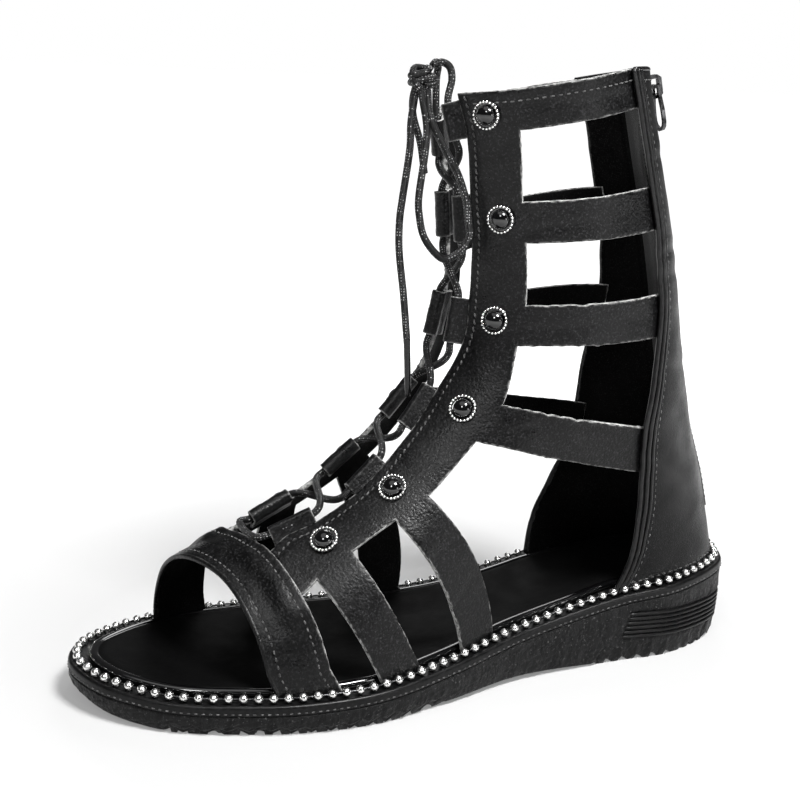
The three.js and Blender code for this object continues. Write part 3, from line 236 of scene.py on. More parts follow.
def _turned(side, y, z, unrolling):
    y, z = np.ravel(y).astype(float), np.ravel(z).astype(float)
    oy, oz = y.copy(), z.copy(); done = np.zeros(len(y), bool)
    for near in (to_ridge, to_back):
        n = near(y, z)
        m = (n.signed < n.round) & ~done
        w = full_width(side, n.fy + n.ny * n.round, n.fz + n.nz * n.round)
        q = quarter(n.round, w)
        if unrolling:
            phi = np.arccos(np.clip(1 - np.maximum(0, n.signed) / n.round, -1, 1))
            d = n.round - q * (1 - phi / (math.pi / 2))
        else:
            phi = np.clip(1 - (n.round - n.signed) / q, 0, 1) * math.pi / 2
            d = n.round * (1 - np.cos(phi))
        oy = np.where(m, n.fy + n.ny * d, oy); oz = np.where(m, n.fz + n.nz * d, oz)
        done |= m
    return oy, oz


unroll = lambda side, y, z: _turned(side, y, z, True)
roll = lambda side, y, z: _turned(side, y, z, False)


def on_last(side, u, v):
    """points of the last from unrolled coordinates, with outward normals"""
    u, v = np.ravel(u).astype(float), np.ravel(v).astype(float)
    e = 0.4

    def place(a, b):
        y, z = roll(side, a, b)
        return np.stack([surface_x(side, y, z), y, z], 1)
    p = place(u, v)
    n = np.cross(place(u + e, v) - place(u - e, v), place(u, v + e) - place(u, v - e))
    n /= np.maximum(np.linalg.norm(n, axis=1), 1e-9)[:, None]
    return p, n * side


def seated(side, p):
    seat = rim_z(p[:, 1]) + 0.5
    m = p[:, 2] < seat + 1.2
    if m.any():
        k = smooth((seat + 1.2 - p[:, 2]) / 1.2)
        p[m, 2] = np.maximum(p[m, 2], seat[m])
        p[m, 0] = surface_x(side, p[m, 1], p[m, 2])
    return p


# ---------------------------------------------------------------- mesh helpers
RNG = np.random.RandomState(7)


def to_frame(P):
    return (np.asarray(P, float) + SHIFT) / 1000


def make(name, V, F, mats, index=None, smooth_shade=True, attrs=None, uv=None, body="sandal", slot=None, replaces=(), normals=None):
    me = bpy.data.meshes.new(name)
    me.from_pydata(to_frame(V).tolist(), [], [list(map(int, f)) for f in F])
    for m in mats:
        me.materials.append(m)
    if index is not None:
        me.polygons.foreach_set("material_index", np.asarray(index, np.int32))
    me.polygons.foreach_set("use_smooth", np.full(len(F), smooth_shade))
    if uv is not None:
        layer = me.uv_layers.new(name="along")
        loops = np.empty(len(me.loops), np.int32); me.loops.foreach_get("vertex_index", loops)
        layer.data.foreach_set("uv", np.asarray(uv)[loops].ravel())
    for k, a in (attrs or {}).items():
        at = me.attributes.new(k, "FLOAT", "POINT")
        at.data.foreach_set("value", np.asarray(a, np.float32))
    me.validate(); me.update()
    ob = bpy.data.objects.new(name, me)
    bpy.context.scene.collection.objects.link(ob)
    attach(ob, body)
    if replaces:
        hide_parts(*replaces)
    return ob


class Parts:
    """joins many small shapes into one mesh"""
    def __init__(self):
        self.V, self.F, self.I, self.UV, self.n = [], [], [], [], 0

    def add(self, V, F, index=0, uv=None):
        V = np.asarray(V, float)
        self.V.append(V)
        self.F += [tuple(int(i) + self.n for i in f) for f in F]
        self.I += [index] * len(F)
        self.UV.append(np.zeros((len(V), 2)) if uv is None else uv)
        self.n += len(V)

    def make(self, name, mats, **kw):
        return make(name, np.concatenate(self.V), self.F, mats, index=self.I, uv=np.concatenate(self.UV), **kw)


def grid_faces(rows, cols, base=0, flip=False, close_cols=False):
    F = []
    for j in range(rows - 1):
        for i in range(cols if close_cols else cols - 1):
            a, b = base + j * cols + i, base + j * cols + (i + 1) % cols
            c, d = b + cols, a + cols
            F.append((a, d, c, b) if flip else (a, b, c, d))
    return F


def sphere(c, r, seg=12, rings=8, axes=None, squash=1.0):
    V, F = [], []
    for j in range(1, rings):
        th = math.pi * j / rings
        for i in range(seg):
            ph = 2 * math.pi * i / seg
            V.append((math.sin(th) * math.cos(ph), math.sin(th) * math.sin(ph), math.cos(th) * squash))
    V += [(0, 0, squash), (0, 0, -squash)]
    F = grid_faces(rings - 1, seg, close_cols=True, flip=True)
    n = (rings - 1) * seg
    for i in range(seg):
        F.append((n, i, (i + 1) % seg))
        F.append((n + 1, n - seg + (i + 1) % seg, n - seg + i))
    V = np.array(V) * r
    if axes is not None:
        V = V @ np.asarray(axes)
    return V + np.asarray(c), F


def frames(P, hint=None):
    """parallel-transported frames of a path"""
    T = np.gradient(P, axis=0); T /= np.maximum(np.linalg.norm(T, axis=1), 1e-9)[:, None]
    a = np.array(hint if hint is not None else [0.31, 0.2, 0.93], float)
    a -= T[0] * a.dot(T[0]); a /= np.linalg.norm(a)
    A = [a]
    for k in range(1, len(P)):
        v = A[-1] - T[k] * A[-1].dot(T[k]); A.append(v / np.linalg.norm(v))
    A = np.array(A)
    return T, A, np.cross(T, A)


def tube(P, r, seg=10, caps=True, closed=False, wobble=None, hint=None):
    P = np.asarray(P, float); n = len(P)
    T, A, B = frames(P, hint)
    rr = np.full(n, r) if np.isscalar(r) else np.asarray(r)
    ang = 2 * math.pi * np.arange(seg) / seg
    V = (P[:, None] + (A[:, None] * np.cos(ang)[None, :, None] + B[:, None] * np.sin(ang)[None, :, None]) * rr[:, None, None]).reshape(-1, 3)
    L = np.concatenate([[0], np.cumsum(np.linalg.norm(np.diff(P, axis=0), axis=1))])
    UV = np.stack([np.tile(np.arange(seg) / seg, n), np.repeat(L, seg) / 10], 1)
    F = grid_faces(n, seg, close_cols=True)
    if closed:
        F += [((n - 1) * seg + i, (n - 1) * seg + (i + 1) % seg, (i + 1) % seg, i) for i in range(seg)]
    elif caps:
        c0, c1 = len(V), len(V) + 1
        V = np.vstack([V, P[0] - T[0] * rr[0] * 0.35, P[-1] + T[-1] * rr[-1] * 0.35])
        UV = np.vstack([UV, [0, 0], [0, L[-1] / 10]])
        F += [(c0, (i + 1) % seg, i) for i in range(seg)]
        F += [(c1, (n - 1) * seg + i, (n - 1) * seg + (i + 1) % seg) for i in range(seg)]
    return V, F, UV


def leather_sheet(name, V, N, quads, mats, thick=LEATHER, lift=None, slot="leather", replaces=(), rim_r=0.38, body="sandal", swell=0.0, make_it=True):
    """a sheet with shared vertices: thickened inwards, its cut edges rounded. mats: outer, lining, edge"""
    V, N = np.asarray(V, float), np.asarray(N, float)
    N = N / np.maximum(np.linalg.norm(N, axis=1), 1e-9)[:, None]
    n = len(V)
    quads = np.asarray(quads)
    # edges used once are the border
    count = {}
    for q in quads:
        for a, b in zip(q, np.roll(q, -1)):
            if (b, a) in count:
                del count[(b, a)]
            else:
                count[(a, b)] = 1
    border = list(count)
    outward = np.zeros((n, 3))
    for a, b in border:
        e = V[b] - V[a]
        o = np.cross(e, (N[a] + N[b]) / 2)
        l = np.linalg.norm(o)
        if l > 1e-9:
            outward[a] += o / l; outward[b] += o / l
    ids = sorted({i for e in border for i in e})
    tree = kdtree.KDTree(len(ids))
    for k, i in enumerate(ids):
        tree.insert(V[i], k)
    tree.balance()
    dist = np.array([tree.find(p)[2] for p in V])
    if lift is not None:
        V = V + N * np.asarray(lift)[:, None]
    if swell:
        V = V + N * (swell * np.minimum(1, dist / 3))[:, None]
    pos = {i: k for k, i in enumerate(ids)}
    O = outward[ids]; O /= np.maximum(np.linalg.norm(O, axis=1), 1e-9)[:, None]
    O -= N[ids] * np.sum(O * N[ids], 1)[:, None]
    m = len(ids)
    jitter = 1 + 0.18 * np.sin(V[ids] @ np.array([1.9, 2.3, 1.7])) * np.sin(V[ids] @ np.array([0.7, -1.1, 0.9]))
    layers = [(0.62 * rim_r, -0.22 * rim_r), (rim_r, -rim_r), (rim_r, -thick + rim_r), (0.62 * rim_r, -thick + 0.22 * rim_r)]
    X = [V, V - N * thick]
    for o, h in layers:
        X.append(V[ids] + O * (o * jitter)[:, None] + N[ids] * h)
    X = np.vstack(X)
    F = [tuple(q) for q in quads]; I = [0] * len(F)
    F += [tuple(q[::-1] + n) for q in quads]; I += [1] * len(quads)
    ring = lambda k, i: 2 * n + k * m + pos[i]
    for a, b in border:
        chain_a = [a, ring(0, a), ring(1, a), ring(2, a), ring(3, a), a + n]
        chain_b = [b, ring(0, b), ring(1, b), ring(2, b), ring(3, b), b + n]
        for k in range(5):
            F.append((chain_b[k], chain_a[k], chain_a[k + 1], chain_b[k + 1]))
            I.append(0 if k == 0 else (1 if k == 4 else 2))
    # rim mask, 1 on the cut edge and fading over 1.6 mm inward; it drives pale rims that are partly rubbed wear, partly
    # painted highlight
    rim_wear_and_highlight = np.concatenate([np.clip(1 - dist / 1.6, 0, 1), np.clip(1 - dist / 1.6, 0, 1), np.ones(m * 4)])
    if not make_it:
        return X, F, I, rim_wear_and_highlight
    return make(name, X, F, mats, index=I, attrs={"rim_wear_and_highlight": rim_wear_and_highlight}, slot=slot, replaces=replaces, body=body)


def stitch_row(parts, P, N, pitch=3.0, length=2.0, r=0.32, height=0.12, index=0, tilt=0.0):
    """thread bars along a path that lies on a surface with normals N"""
    L = np.concatenate([[0], np.cumsum(np.linalg.norm(np.diff(P, axis=0), axis=1))])
    at = np.arange(pitch * 0.6, L[-1] - pitch * 0.4, pitch)
    for c, s in enumerate(at):
        q = []
        for k in range(5):
            u = s + (k / 4 - 0.5) * length
            p = np.array([np.interp(u, L, P[:, a]) for a in range(3)]); n = np.array([np.interp(u, L, N[:, a]) for a in range(3)])
            t = np.array([np.interp(u + 0.2, L, P[:, a]) for a in range(3)]) - p
            t /= max(np.linalg.norm(t), 1e-6)
            w = np.cross(n, t)
            q.append(p + n * (height - [0.5, 0.06, 0, 0.06, 0.5][k]) + w * (k / 4 - 0.5) * tilt)
        V, F, UV = tube(np.array(q), np.array([0.75, 1.0, 1.0, 1.0, 0.75]) * r, seg=6)
        parts.add(V, F, index, UV)


# ---------------------------------------------------------------- materials
class Mat:
    """a small builder for node materials"""
    def __init__(self, name, color, rough=0.5, metal=0.0, spec=0.5, coat=0.0, coat_rough=0.1, sheen=0.0):
        self.m = bpy.data.materials.new(name)
        self.m.use_nodes = True
        self.t = self.m.node_tree
        self.b = self.t.nodes["Principled BSDF"]
        self.b.inputs["Base Color"].default_value = (*color, 1)
        self.b.inputs["Roughness"].default_value = rough
        self.b.inputs["Metallic"].default_value = metal
        self.b.inputs["Specular IOR Level"].default_value = spec
        self.b.inputs["Coat Weight"].default_value = coat
        self.b.inputs["Coat Roughness"].default_value = coat_rough
        if sheen:
            self.b.inputs["Sheen Weight"].default_value = sheen
            self.b.inputs["Sheen Roughness"].default_value = 0.5
        self.coord = None

    def node(self, kind, **kw):
        n = self.t.nodes.new(kind)
        for k, v in kw.items():
            setattr(n, k, v)
        return n

    def link(self, a, b):
        self.t.links.new(a, b)

    def at(self, scale=(1, 1, 1), rot=(0, 0, 0), uv=False):
        c = self.node("ShaderNodeTexCoord")
        mp = self.node("ShaderNodeMapping")
        mp.inputs["Scale"].default_value = scale
        mp.inputs["Rotation"].default_value = rot
        self.link(c.outputs["UV" if uv else "Object"], mp.inputs["Vector"])
        return mp.outputs["Vector"]

    def noise(self, scale, detail=4, rough=0.55, vec=None, distortion=0.0):
        n = self.node("ShaderNodeTexNoise")
        n.inputs["Scale"].default_value = scale
        n.inputs["Detail"].default_value = detail
        n.inputs["Roughness"].default_value = rough
        n.inputs["Distortion"].default_value = distortion
        self.link(vec if vec is not None else self.at(), n.inputs["Vector"])
        return n.outputs["Fac"]

    def voronoi(self, scale, vec=None, feature="F1", out="Distance", rand=1.0):
        n = self.node("ShaderNodeTexVoronoi", feature=feature)
        n.inputs["Scale"].default_value = scale
        n.inputs["Randomness"].default_value = rand
        self.link(vec if vec is not None else self.at(), n.inputs["Vector"])
        return n.outputs[out]

    def wave(self, scale, vec=None, kind="BANDS", direction="X", distortion=0.0, detail=1.0):
        n = self.node("ShaderNodeTexWave", wave_type=kind)
        n.bands_direction = direction
        n.inputs["Scale"].default_value = scale
        n.inputs["Distortion"].default_value = distortion
        n.inputs["Detail"].default_value = detail
        self.link(vec if vec is not None else self.at(), n.inputs["Vector"])
        return n.outputs["Fac"]

    def ramp(self, fac, lo, hi, a=0.0, b=1.0):
        n = self.node("ShaderNodeMapRange")
        n.inputs["From Min"].default_value, n.inputs["From Max"].default_value = lo, hi
        n.inputs["To Min"].default_value, n.inputs["To Max"].default_value = a, b
        self.link(fac, n.inputs["Value"])
        return n.outputs["Result"]

    def math(self, op, a, b):
        n = self.node("ShaderNodeMath", operation=op)
        for k, v in enumerate((a, b)):
            if isinstance(v, (int, float)):
                n.inputs[k].default_value = v
            else:
                self.link(v, n.inputs[k])
        return n.outputs[0]

    def mix(self, fac, a, b):
        n = self.node("ShaderNodeMix", data_type="RGBA")
        self.link(fac, n.inputs[0])
        for k, v in ((6, a), (7, b)):
            if isinstance(v, tuple):
                n.inputs[k].default_value = (*v, 1)
            else:
                self.link(v, n.inputs[k])
        return n.outputs[2]

    def color(self, out):
        self.link(out, self.b.inputs["Base Color"])

    def rough(self, out):
        self.link(out, self.b.inputs["Roughness"])

    def bump(self, out, strength=0.4, distance=0.0003):
        n = self.node("ShaderNodeBump")
        n.inputs["Strength"].default_value = strength
        n.inputs["Distance"].default_value = distance
        self.link(out, n.inputs["Height"])
        if getattr(self, "last", None) is not None:
            self.link(self.last, n.inputs["Normal"])
        self.last = n.outputs["Normal"]
        self.link(self.last, self.b.inputs["Normal"])

    def attr(self, name):
        n = self.node("ShaderNodeAttribute", attribute_name=name)
        return n.outputs["Fac"]


def leather_material(name, dark, light, rough, grain_scale, grain, rim_wear_and_highlight=0.35, spec=0.5):
    m = Mat(name, light, rough, spec=spec)
    cloud = m.noise(55, 3)
    cells = m.voronoi(grain_scale, feature="SMOOTH_F1")
    fine = m.noise(grain_scale * 1.7, 3)
    base = m.mix(m.ramp(cloud, 0.35, 0.68), dark, light)
    # painted highlight: light flecks mixed into the base colour stand in for glints on the pebble grain
    painted_grain_glint = m.math("MULTIPLY", m.ramp(m.noise(grain_scale * 1.1, 2, 0.7), 0.54, 0.70), m.ramp(m.noise(45, 2), 0.35, 0.7, 0.55, 1.0))
    base = m.mix(painted_grain_glint, base, tuple(min(1, c * 11.0) for c in light))
    # pale rims: partly rubbed wear, partly painted highlight where the cut edges catch light from above
    edge = m.math("MULTIPLY", m.math("POWER", m.attr("rim_wear_and_highlight"), 12.0), m.ramp(m.noise(420, 3), 0.45, 0.62))
    base = m.mix(m.math("MULTIPLY", edge, rim_wear_and_highlight), base, (0.30, 0.30, 0.295))
    m.color(base)
    m.rough(m.math("ADD", m.ramp(m.noise(120, 3), 0.3, 0.7, rough - 0.07, rough + 0.09), m.ramp(cells, 0.2, 0.8, -0.03, 0.09)))
    m.bump(m.noise(48, 2), 0.16, 0.0010)
    m.bump(cells, grain, 0.00020)
    m.bump(fine, grain * 0.9, 0.00016)
    return m.m


M = {}
M["leather"] = leather_material("black_leather", (0.0008, 0.0008, 0.0009), (0.0026, 0.0026, 0.0027), 0.33, 1150, 0.6, rim_wear_and_highlight=0.6, spec=0.22)
M["counter"] = leather_material("counter_leather", (0.0012, 0.0012, 0.0013), (0.0024, 0.0024, 0.0025), 0.36, 2100, 0.28, rim_wear_and_highlight=0.3, spec=0.13)
M["lining"] = leather_material("lining", (0.0008, 0.0008, 0.0008), (0.0014, 0.0014, 0.0014), 0.75, 1900, 0.3, rim_wear_and_highlight=0.1, spec=0.06)
# pale grey cut edges: partly the leather fibre's own colour, partly painted highlight where the edges catch light from
# above
m = Mat("raw_edge_and_painted_highlight", (0.2, 0.2, 0.2), 0.9, sheen=0.3)
m.color(m.mix(m.ramp(m.noise(620, 4), 0.36, 0.62), (0.012, 0.012, 0.012), (0.42, 0.42, 0.41)))
m.bump(m.noise(2200, 3), 0.6, 0.0003)
M["edge"] = m.m
m = Mat("piping_leather", (0.02, 0.02, 0.02), 0.30, spec=0.32)
m.color(m.mix(m.ramp(m.noise(600, 3), 0.4, 0.7), (0.002, 0.002, 0.0021), (0.008, 0.008, 0.0083)))
m.bump(m.noise(1500, 3), 0.4, 0.0002); m.bump(m.noise(260, 2), 0.4, 0.0006)
M["piping"] = m.m
m = Mat("thread", (0.06, 0.06, 0.06), 0.55, sheen=0.3)
m.color(m.mix(m.ramp(m.noise(520, 2), 0.42, 0.66), (0.003, 0.003, 0.003), (0.085, 0.085, 0.084)))
m.bump(m.wave(2.0, m.at((900, 900, 900), (0.5, 0.4, 0.7)), direction="DIAGONAL"), 0.6, 0.0001)
M["thread"] = m.m
m = Mat("beads", (0.85, 0.85, 0.84), 0.2, 1.0)
m.rough(m.ramp(m.noise(400, 3), 0.3, 0.75, 0.17, 0.34))
m.color(m.mix(m.ramp(m.noise(300, 3), 0.45, 0.75), (0.93, 0.93, 0.92), (0.60, 0.59, 0.58)))
m.bump(m.noise(1200, 2), 0.08, 0.0001)
M["beads"] = m.m
m = Mat("dome", (0.001, 0.001, 0.0012), 0.06, 0.0, spec=0.45, coat=0.6, coat_rough=0.03)
m.rough(m.ramp(m.noise(500, 3), 0.35, 0.8, 0.05, 0.16))
m.bump(m.noise(900, 2), 0.05, 0.0001)
M["dome"] = m.m
m = Mat("patent", (0.0015, 0.0015, 0.0017), 0.12, spec=0.5, coat=0.8, coat_rough=0.05)
m.rough(m.ramp(m.noise(160, 4), 0.35, 0.75, 0.07, 0.2))
m.bump(m.noise(150, 3), 0.25, 0.0006); m.bump(m.noise(900, 2), 0.06, 0.0002)
M["patent"] = m.m
m = Mat("insole_satin", (0.010, 0.010, 0.011), 0.6, spec=0.05)
m.rough(m.ramp(m.noise(90, 4), 0.3, 0.75, 0.52, 0.72))
m.color(m.mix(m.noise(500, 3), (0.0010, 0.0010, 0.0010), (0.0022, 0.0022, 0.0023)))
m.bump(m.voronoi(1700, feature="SMOOTH_F1"), 0.2, 0.00015); m.bump(m.noise(60, 3), 0.3, 0.0008)
M["insole"] = m.m
m = Mat("rubber", (0.03, 0.03, 0.031), 0.5, spec=0.18)
bark = m.noise(1.0, 5, 0.65, m.at((520, 520, 110)), 0.6)
specks = m.ramp(m.noise(1250, 2, 0.7), 0.63, 0.72)
m.color(m.mix(specks, m.mix(m.ramp(bark, 0.42, 0.72), (0.002, 0.002, 0.0021), (0.009, 0.009, 0.0093)), (0.10, 0.10, 0.10)))
m.rough(m.ramp(m.noise(700, 3), 0.35, 0.7, 0.30, 0.58))
m.bump(bark, 0.9, 0.0008); m.bump(m.noise(1900, 2), 0.4, 0.0002)
M["rubber"] = m.m
m = Mat("rand", (0.02, 0.02, 0.021), 0.36, spec=0.20)
m.color(m.mix(m.ramp(m.noise(800, 4), 0.45, 0.75), (0.0018, 0.0018, 0.0019), (0.0085, 0.0085, 0.0088)))
m.rough(m.ramp(m.noise(300, 3), 0.35, 0.7, 0.28, 0.46))
m.bump(m.noise(1500, 3), 0.25, 0.0002)
M["rand"] = m.m
m = Mat("lace_cord", (0.02, 0.02, 0.02), 0.42, spec=0.3)
uv = m.at((1, 1, 1), uv=True)
weave = m.wave(2.0, m.at((1, 5.0, 1), (0, 0, 0.72), uv=True), direction="X")
weave2 = m.wave(2.0, m.at((1, 5.0, 1), (0, 0, -0.72), uv=True), direction="X")
braid = m.math("MAXIMUM", weave, weave2)
rows_uv = m.at((9, 10.5, 1), (0, 0, 0.10), uv=True)
dash = m.ramp(m.voronoi(1.0, rows_uv, rand=0.25), 0.24, 0.14)
fleck = m.math("MULTIPLY", dash, m.math("GREATER_THAN", m.noise(300, 2), 0.47))
m.color(m.mix(fleck, m.mix(braid, (0.001, 0.001, 0.001), (0.004, 0.004, 0.0042)), (0.50, 0.50, 0.51)))
m.bump(braid, 0.8, 0.00025); m.bump(m.noise(2600, 2), 0.5, 0.0001)
M["lace"] = m.m
m = Mat("lace_tip", (0.003, 0.003, 0.0032), 0.22, spec=0.35)
m.rough(m.ramp(m.noise(600, 3), 0.35, 0.7, 0.16, 0.34))
m.bump(m.noise(900, 2), 0.2, 0.0002)
M["tip"] = m.m
m = Mat("zip_tape", (0.012, 0.012, 0.012), 0.75, sheen=0.3)
tape = m.math("MAXIMUM", m.wave(1.0, m.at((1300, 1300, 1300), (0, 0, 0)), direction="X"), m.wave(1.0, m.at((1300, 1300, 1300), (0, 0, 0)), direction="Z"))
m.color(m.mix(tape, (0.003, 0.003, 0.003), (0.011, 0.011, 0.011)))
m.bump(tape, 0.7, 0.00015)
M["tape"] = m.m
m = Mat("zip_teeth", (0.30, 0.30, 0.30), 0.3, 1.0)
m.color(m.mix(m.ramp(m.noise(500, 3), 0.4, 0.7), (0.16, 0.16, 0.16), (0.42, 0.42, 0.41)))
m.rough(m.ramp(m.noise(700, 3), 0.3, 0.75, 0.22, 0.45))
M["teeth"] = m.m
# dark gunmetal of the zip slider and pull; on the ball chain's wire the same dark finish is painted shade for the gaps
# between the balls
m = Mat("zip_metal", (0.06, 0.06, 0.062), 0.3, 1.0)
m.color(m.mix(m.ramp(m.noise(260, 4), 0.4, 0.72), (0.02, 0.02, 0.021), (0.12, 0.12, 0.123)))
m.rough(m.ramp(m.noise(420, 3), 0.3, 0.75, 0.2, 0.42))
m.bump(m.noise(700, 3), 0.15, 0.0002)
M["gun"] = m.m

# ---------------------------------------------------------------- outsole
NS = 1200
ring0 = resample(np.vstack([OUT, OUT[:1]]), count=NS + 1)[:-1]
ARC = np.concatenate([[0], np.cumsum(np.linalg.norm(np.diff(ring0, axis=0), axis=1))])


def ring_in(d, base=None):
    r = ring0 if base is None else base
    t = np.roll(r, -6, 0) - np.roll(r, 6, 0)
    t /= np.linalg.norm(t, axis=1)[:, None]
    return r + np.stack([t[:, 1], -t[:, 0]], 1) * np.asarray(d)[..., None]


def axis_pts(r):
    y = np.clip(r[:, 1], -92, 98)
    lo, hi = half_widths(y, 0)
    return np.stack([(lo + hi) / 2, y], 1)


def value_noise(x, seed):
    g = np.random.RandomState(seed).rand(4096) * 2 - 1
    i = np.floor(x).astype(int); f = x - i; f = f * f * (3 - 2 * f)
    return g[i % 4096] * (1 - f) + g[(i + 1) % 4096] * f


def in_tread(y):
    return smooth((y + 104) / 4) * (1 - smooth((y + 12) / 4)) + smooth((y - 55) / 4) * (1 - smooth((y - 118) / 4))


tri = lambda s: 1 - np.abs((s % 1.0) * 2 - 1)
AX = axis_pts(ring0)
rows, kinds = [], []
for f in np.linspace(1, 0.1, 9):
    r = ring_in(3.0) * (1 - f) + AX * f
    rows.append(np.column_stack([r, rim_z(r[:, 1]) - 0.1])); kinds.append("rand")
for d, dz in ((3.0, 0.0), (2.2, -0.25), (1.4, -0.2), (0.75, 0.05), (0.3, -0.1), (0.06, -0.45)):
    r = ring_in(d); rows.append(np.column_stack([r, rim_z(ring0[:, 1]) + dz])); kinds.append("rand")
yy = ring0[:, 1]; top, low = rim_z(yy), ground_z(yy)
tread = in_tread(yy)
bottom = low + 0.15 + 2.1 * tri(yy / 6.5) * tread + 0.5 * (1 - tread)
side_h = [0.9, 1.5, 2.1, 2.7, 3.1, 3.4, 3.6, 3.9, 4.3]
for h in side_h:
    groove = 0.5 if 3.3 < h < 3.7 else (0.12 if h > 3.0 and h < 3.3 else 0.0)
    d = -0.12 if h < 3.2 else 0.12
    r = ring_in(d + groove); rows.append(np.column_stack([r, top - h])); kinds.append("rand" if h < 3.5 else "rubber")
NB = 33
outer = ring0[:, 0] > AX[:, 0]
for k in range(1, NB + 1):
    f = k / NB
    z = (top - 4.3) * (1 - f) + bottom * f
    # bark: upright wrinkles that wander and fade
    wander = ARC[:NS] + 1.3 * value_noise(z / 2.6 + 9, 3) + 0.9 * value_noise(z / 1.1, 5)
    bark = 0.20 * value_noise(wander / 1.25, 11) + 0.13 * value_noise(wander / 0.62 + 40, 12) + 0.10 * value_noise(z / 0.9 + wander / 3.0, 13)
    d = 0.15 + 1.15 * f ** 2.2 + bark * min(1, f * 4) * min(1, (1 - f) * 5 + 0.3)
    # ribs on both sides of the heel
    s = (yy - 68) / 54
    zt, zb = 19.2 - 1.5 * s, 8.9 - 2.0 * s
    panel = (smooth((yy - (67.0 + 0.26 * (z - 8))) / 1.2) * (1 - smooth((yy - 120.5) / 2.5))) * (1 - smooth((np.abs(z - (zt + zb) / 2) - (zt - zb) / 2) / 0.7))
    d = d * (1 - panel) + panel * (0.15 + 1.15 * f ** 2.2 + 0.42)
    # fine zigzag cut above the ground
    zig = smooth((f - 0.66) / 0.2) * tread * 1.0 * tri(yy / 6.5 + 0.5)
    rows.append(np.column_stack([ring_in(d + zig), z])); kinds.append("rubber")
edge_in = ring_in(1.6)
for f in (0.02, 0.05, 0.09, 0.14, 0.2, 0.3, 0.4, 0.5, 0.6, 0.7, 0.8, 0.9, 1.0):
    r = edge_in * (1 - f) + AX * f
    t = in_tread(r[:, 1])
    z = ground_z(r[:, 1]) + 0.05 + t * 1.4 * (tri(r[:, 1] / 6.5 + 0.9 * (tri(r[:, 0] / 13.0) - 0.5)) > 0.52) + 0.5 * (1 - t)
    rows.append(np.column_stack([r, z])); kinds.append("tread")
V = np.vstack(rows)
F = grid_faces(len(rows), NS, close_cols=True)
I = []
for j in range(len(rows) - 1):
    I += [{"rand": 0, "rubber": 1, "tread": 1}[kinds[j + 1]]] * NS
ob = make("sole_unit", V, F, [M["rand"], M["rubber"]], index=I, slot="sole", replaces=("outsole",))
bm = bmesh = None
import bmesh
bm = bmesh.new(); bm.from_mesh(ob.data)
bmesh.ops.remove_doubles(bm, verts=bm.verts, dist=2e-6)
bmesh.ops.dissolve_degenerate(bm, edges=bm.edges, dist=1e-6)
bmesh.ops.recalc_face_normals(bm, faces=bm.faces)
bm.to_mesh(ob.data); bm.free()

# six lengthwise ribs in a slanted panel on each side of the heel
parts = Parts()
for sign in (1, -1):
    on_side = np.where((outer if sign > 0 else ~outer) & (yy > 62) & (yy < 123.4))[0]
    on_side = on_side[np.argsort(yy[on_side])]
    for k in range(6):
        q = (k + 0.5) / 6
        s = (yy[on_side] - 68) / 54
        z = (8.9 - 2.0 * s) * (1 - q) + (19.2 - 1.5 * s) * q
        m_ = yy[on_side] > 67.2 + 0.26 * (z - 8)
        ids, z = on_side[m_], z[m_]
        f = np.clip((top[ids] - 4.3 - z) / (top[ids] - 4.3 - bottom[ids]), 0, 1)
        dd = np.zeros(NS); dd[ids] = 0.15 + 1.15 * f ** 2.2 + 0.22
        line = resample(np.column_stack([ring_in(dd)[ids], z]), step=0.9)
        n = len(line); fade = np.minimum(1, np.minimum(np.arange(n) + 0.6, (n - np.arange(n)) * 0.35) / 2)
        V, F, UV = tube(line, 0.56 * fade + 0.06, 8, hint=(0, 0, 1))
        parts.add(V, F, 0, UV)
parts.make("heel_ribs", [M["rand"]], slot="sole")

# stitch dots under the rand
parts = Parts()
welt = resample(np.vstack([ring_in(-0.05), ring_in(-0.05)[:1]]), step=1.0)
wl = np.column_stack([welt, rim_z(welt[:, 1]) - 2.5])
t = np.gradient(welt, axis=0); t /= np.linalg.norm(t, axis=1)[:, None]
wn = np.column_stack([-t[:, 1], t[:, 0], np.zeros(len(t))])
stitch_row(parts, wl, wn, pitch=2.3, length=1.2, r=0.24, height=0.12)
parts.make("welt_stitches", [M["thread"]], slot="sole")

# ---------------------------------------------------------------- insole
ins = 6.7 + smooth((ring0[:, 1] - 45) / 25) * 2.0
inring = ring_in(ins)
inring = resample(np.vstack([inring, inring[:1]]), count=601)[:-1]


def ring_in2(d):
    t = np.roll(inring, -4, 0) - np.roll(inring, 4, 0)
    t /= np.linalg.norm(t, axis=1)[:, None]
    return inring + np.stack([t[:, 1], -t[:, 0]], 1) * d


lo, hi = half_widths(np.clip(inring[:, 1], -88, 92), 6.7)
AXI = np.column_stack([(lo + hi) / 2, np.clip(inring[:, 1], -88, 92)])
rows, kinds = [], []
zr = rim_z(inring[:, 1])
for d, h, k in ((1.2, 0.25, 1), (0.45, 0.35, 1), (0.1, 0.8, 1), (0.0, 1.4, 1), (0.12, 1.95, 1), (0.5, 2.4, 1), (1.05, 2.66, 1), (1.7, 2.72, 1),
                (2.3, 2.6, 1), (2.75, 2.36, 1), (3.0, 2.12, 1), (3.3, 2.16, 0), (4.0, 2.3, 0), (5.5, 2.36, 0)):
    rows.append(np.column_stack([ring_in2(d), zr + h])); kinds.append(k)
base = ring_in2(5.5)
for f in np.linspace(0.08, 1.0, 13):
    r = base * (1 - f) + AXI * f
    z = rim_z(r[:, 1]) + 2.36 - 0.9 * smooth(f * 1.3) + 0.12 * value_noise(r[:, 1] / 9 + r[:, 0] / 14, 21)
    rows.append(np.column_stack([r, z])); kinds.append(0)
F = grid_faces(len(rows), len(inring), close_cols=True, flip=True)
I = []
for j in range(len(rows) - 1):
    I += [kinds[j + 1]] * len(inring)
ob = make("insole_board", np.vstack(rows), F, [M["insole"], M["patent"]], index=I, slot="insole", replaces=("insole",))
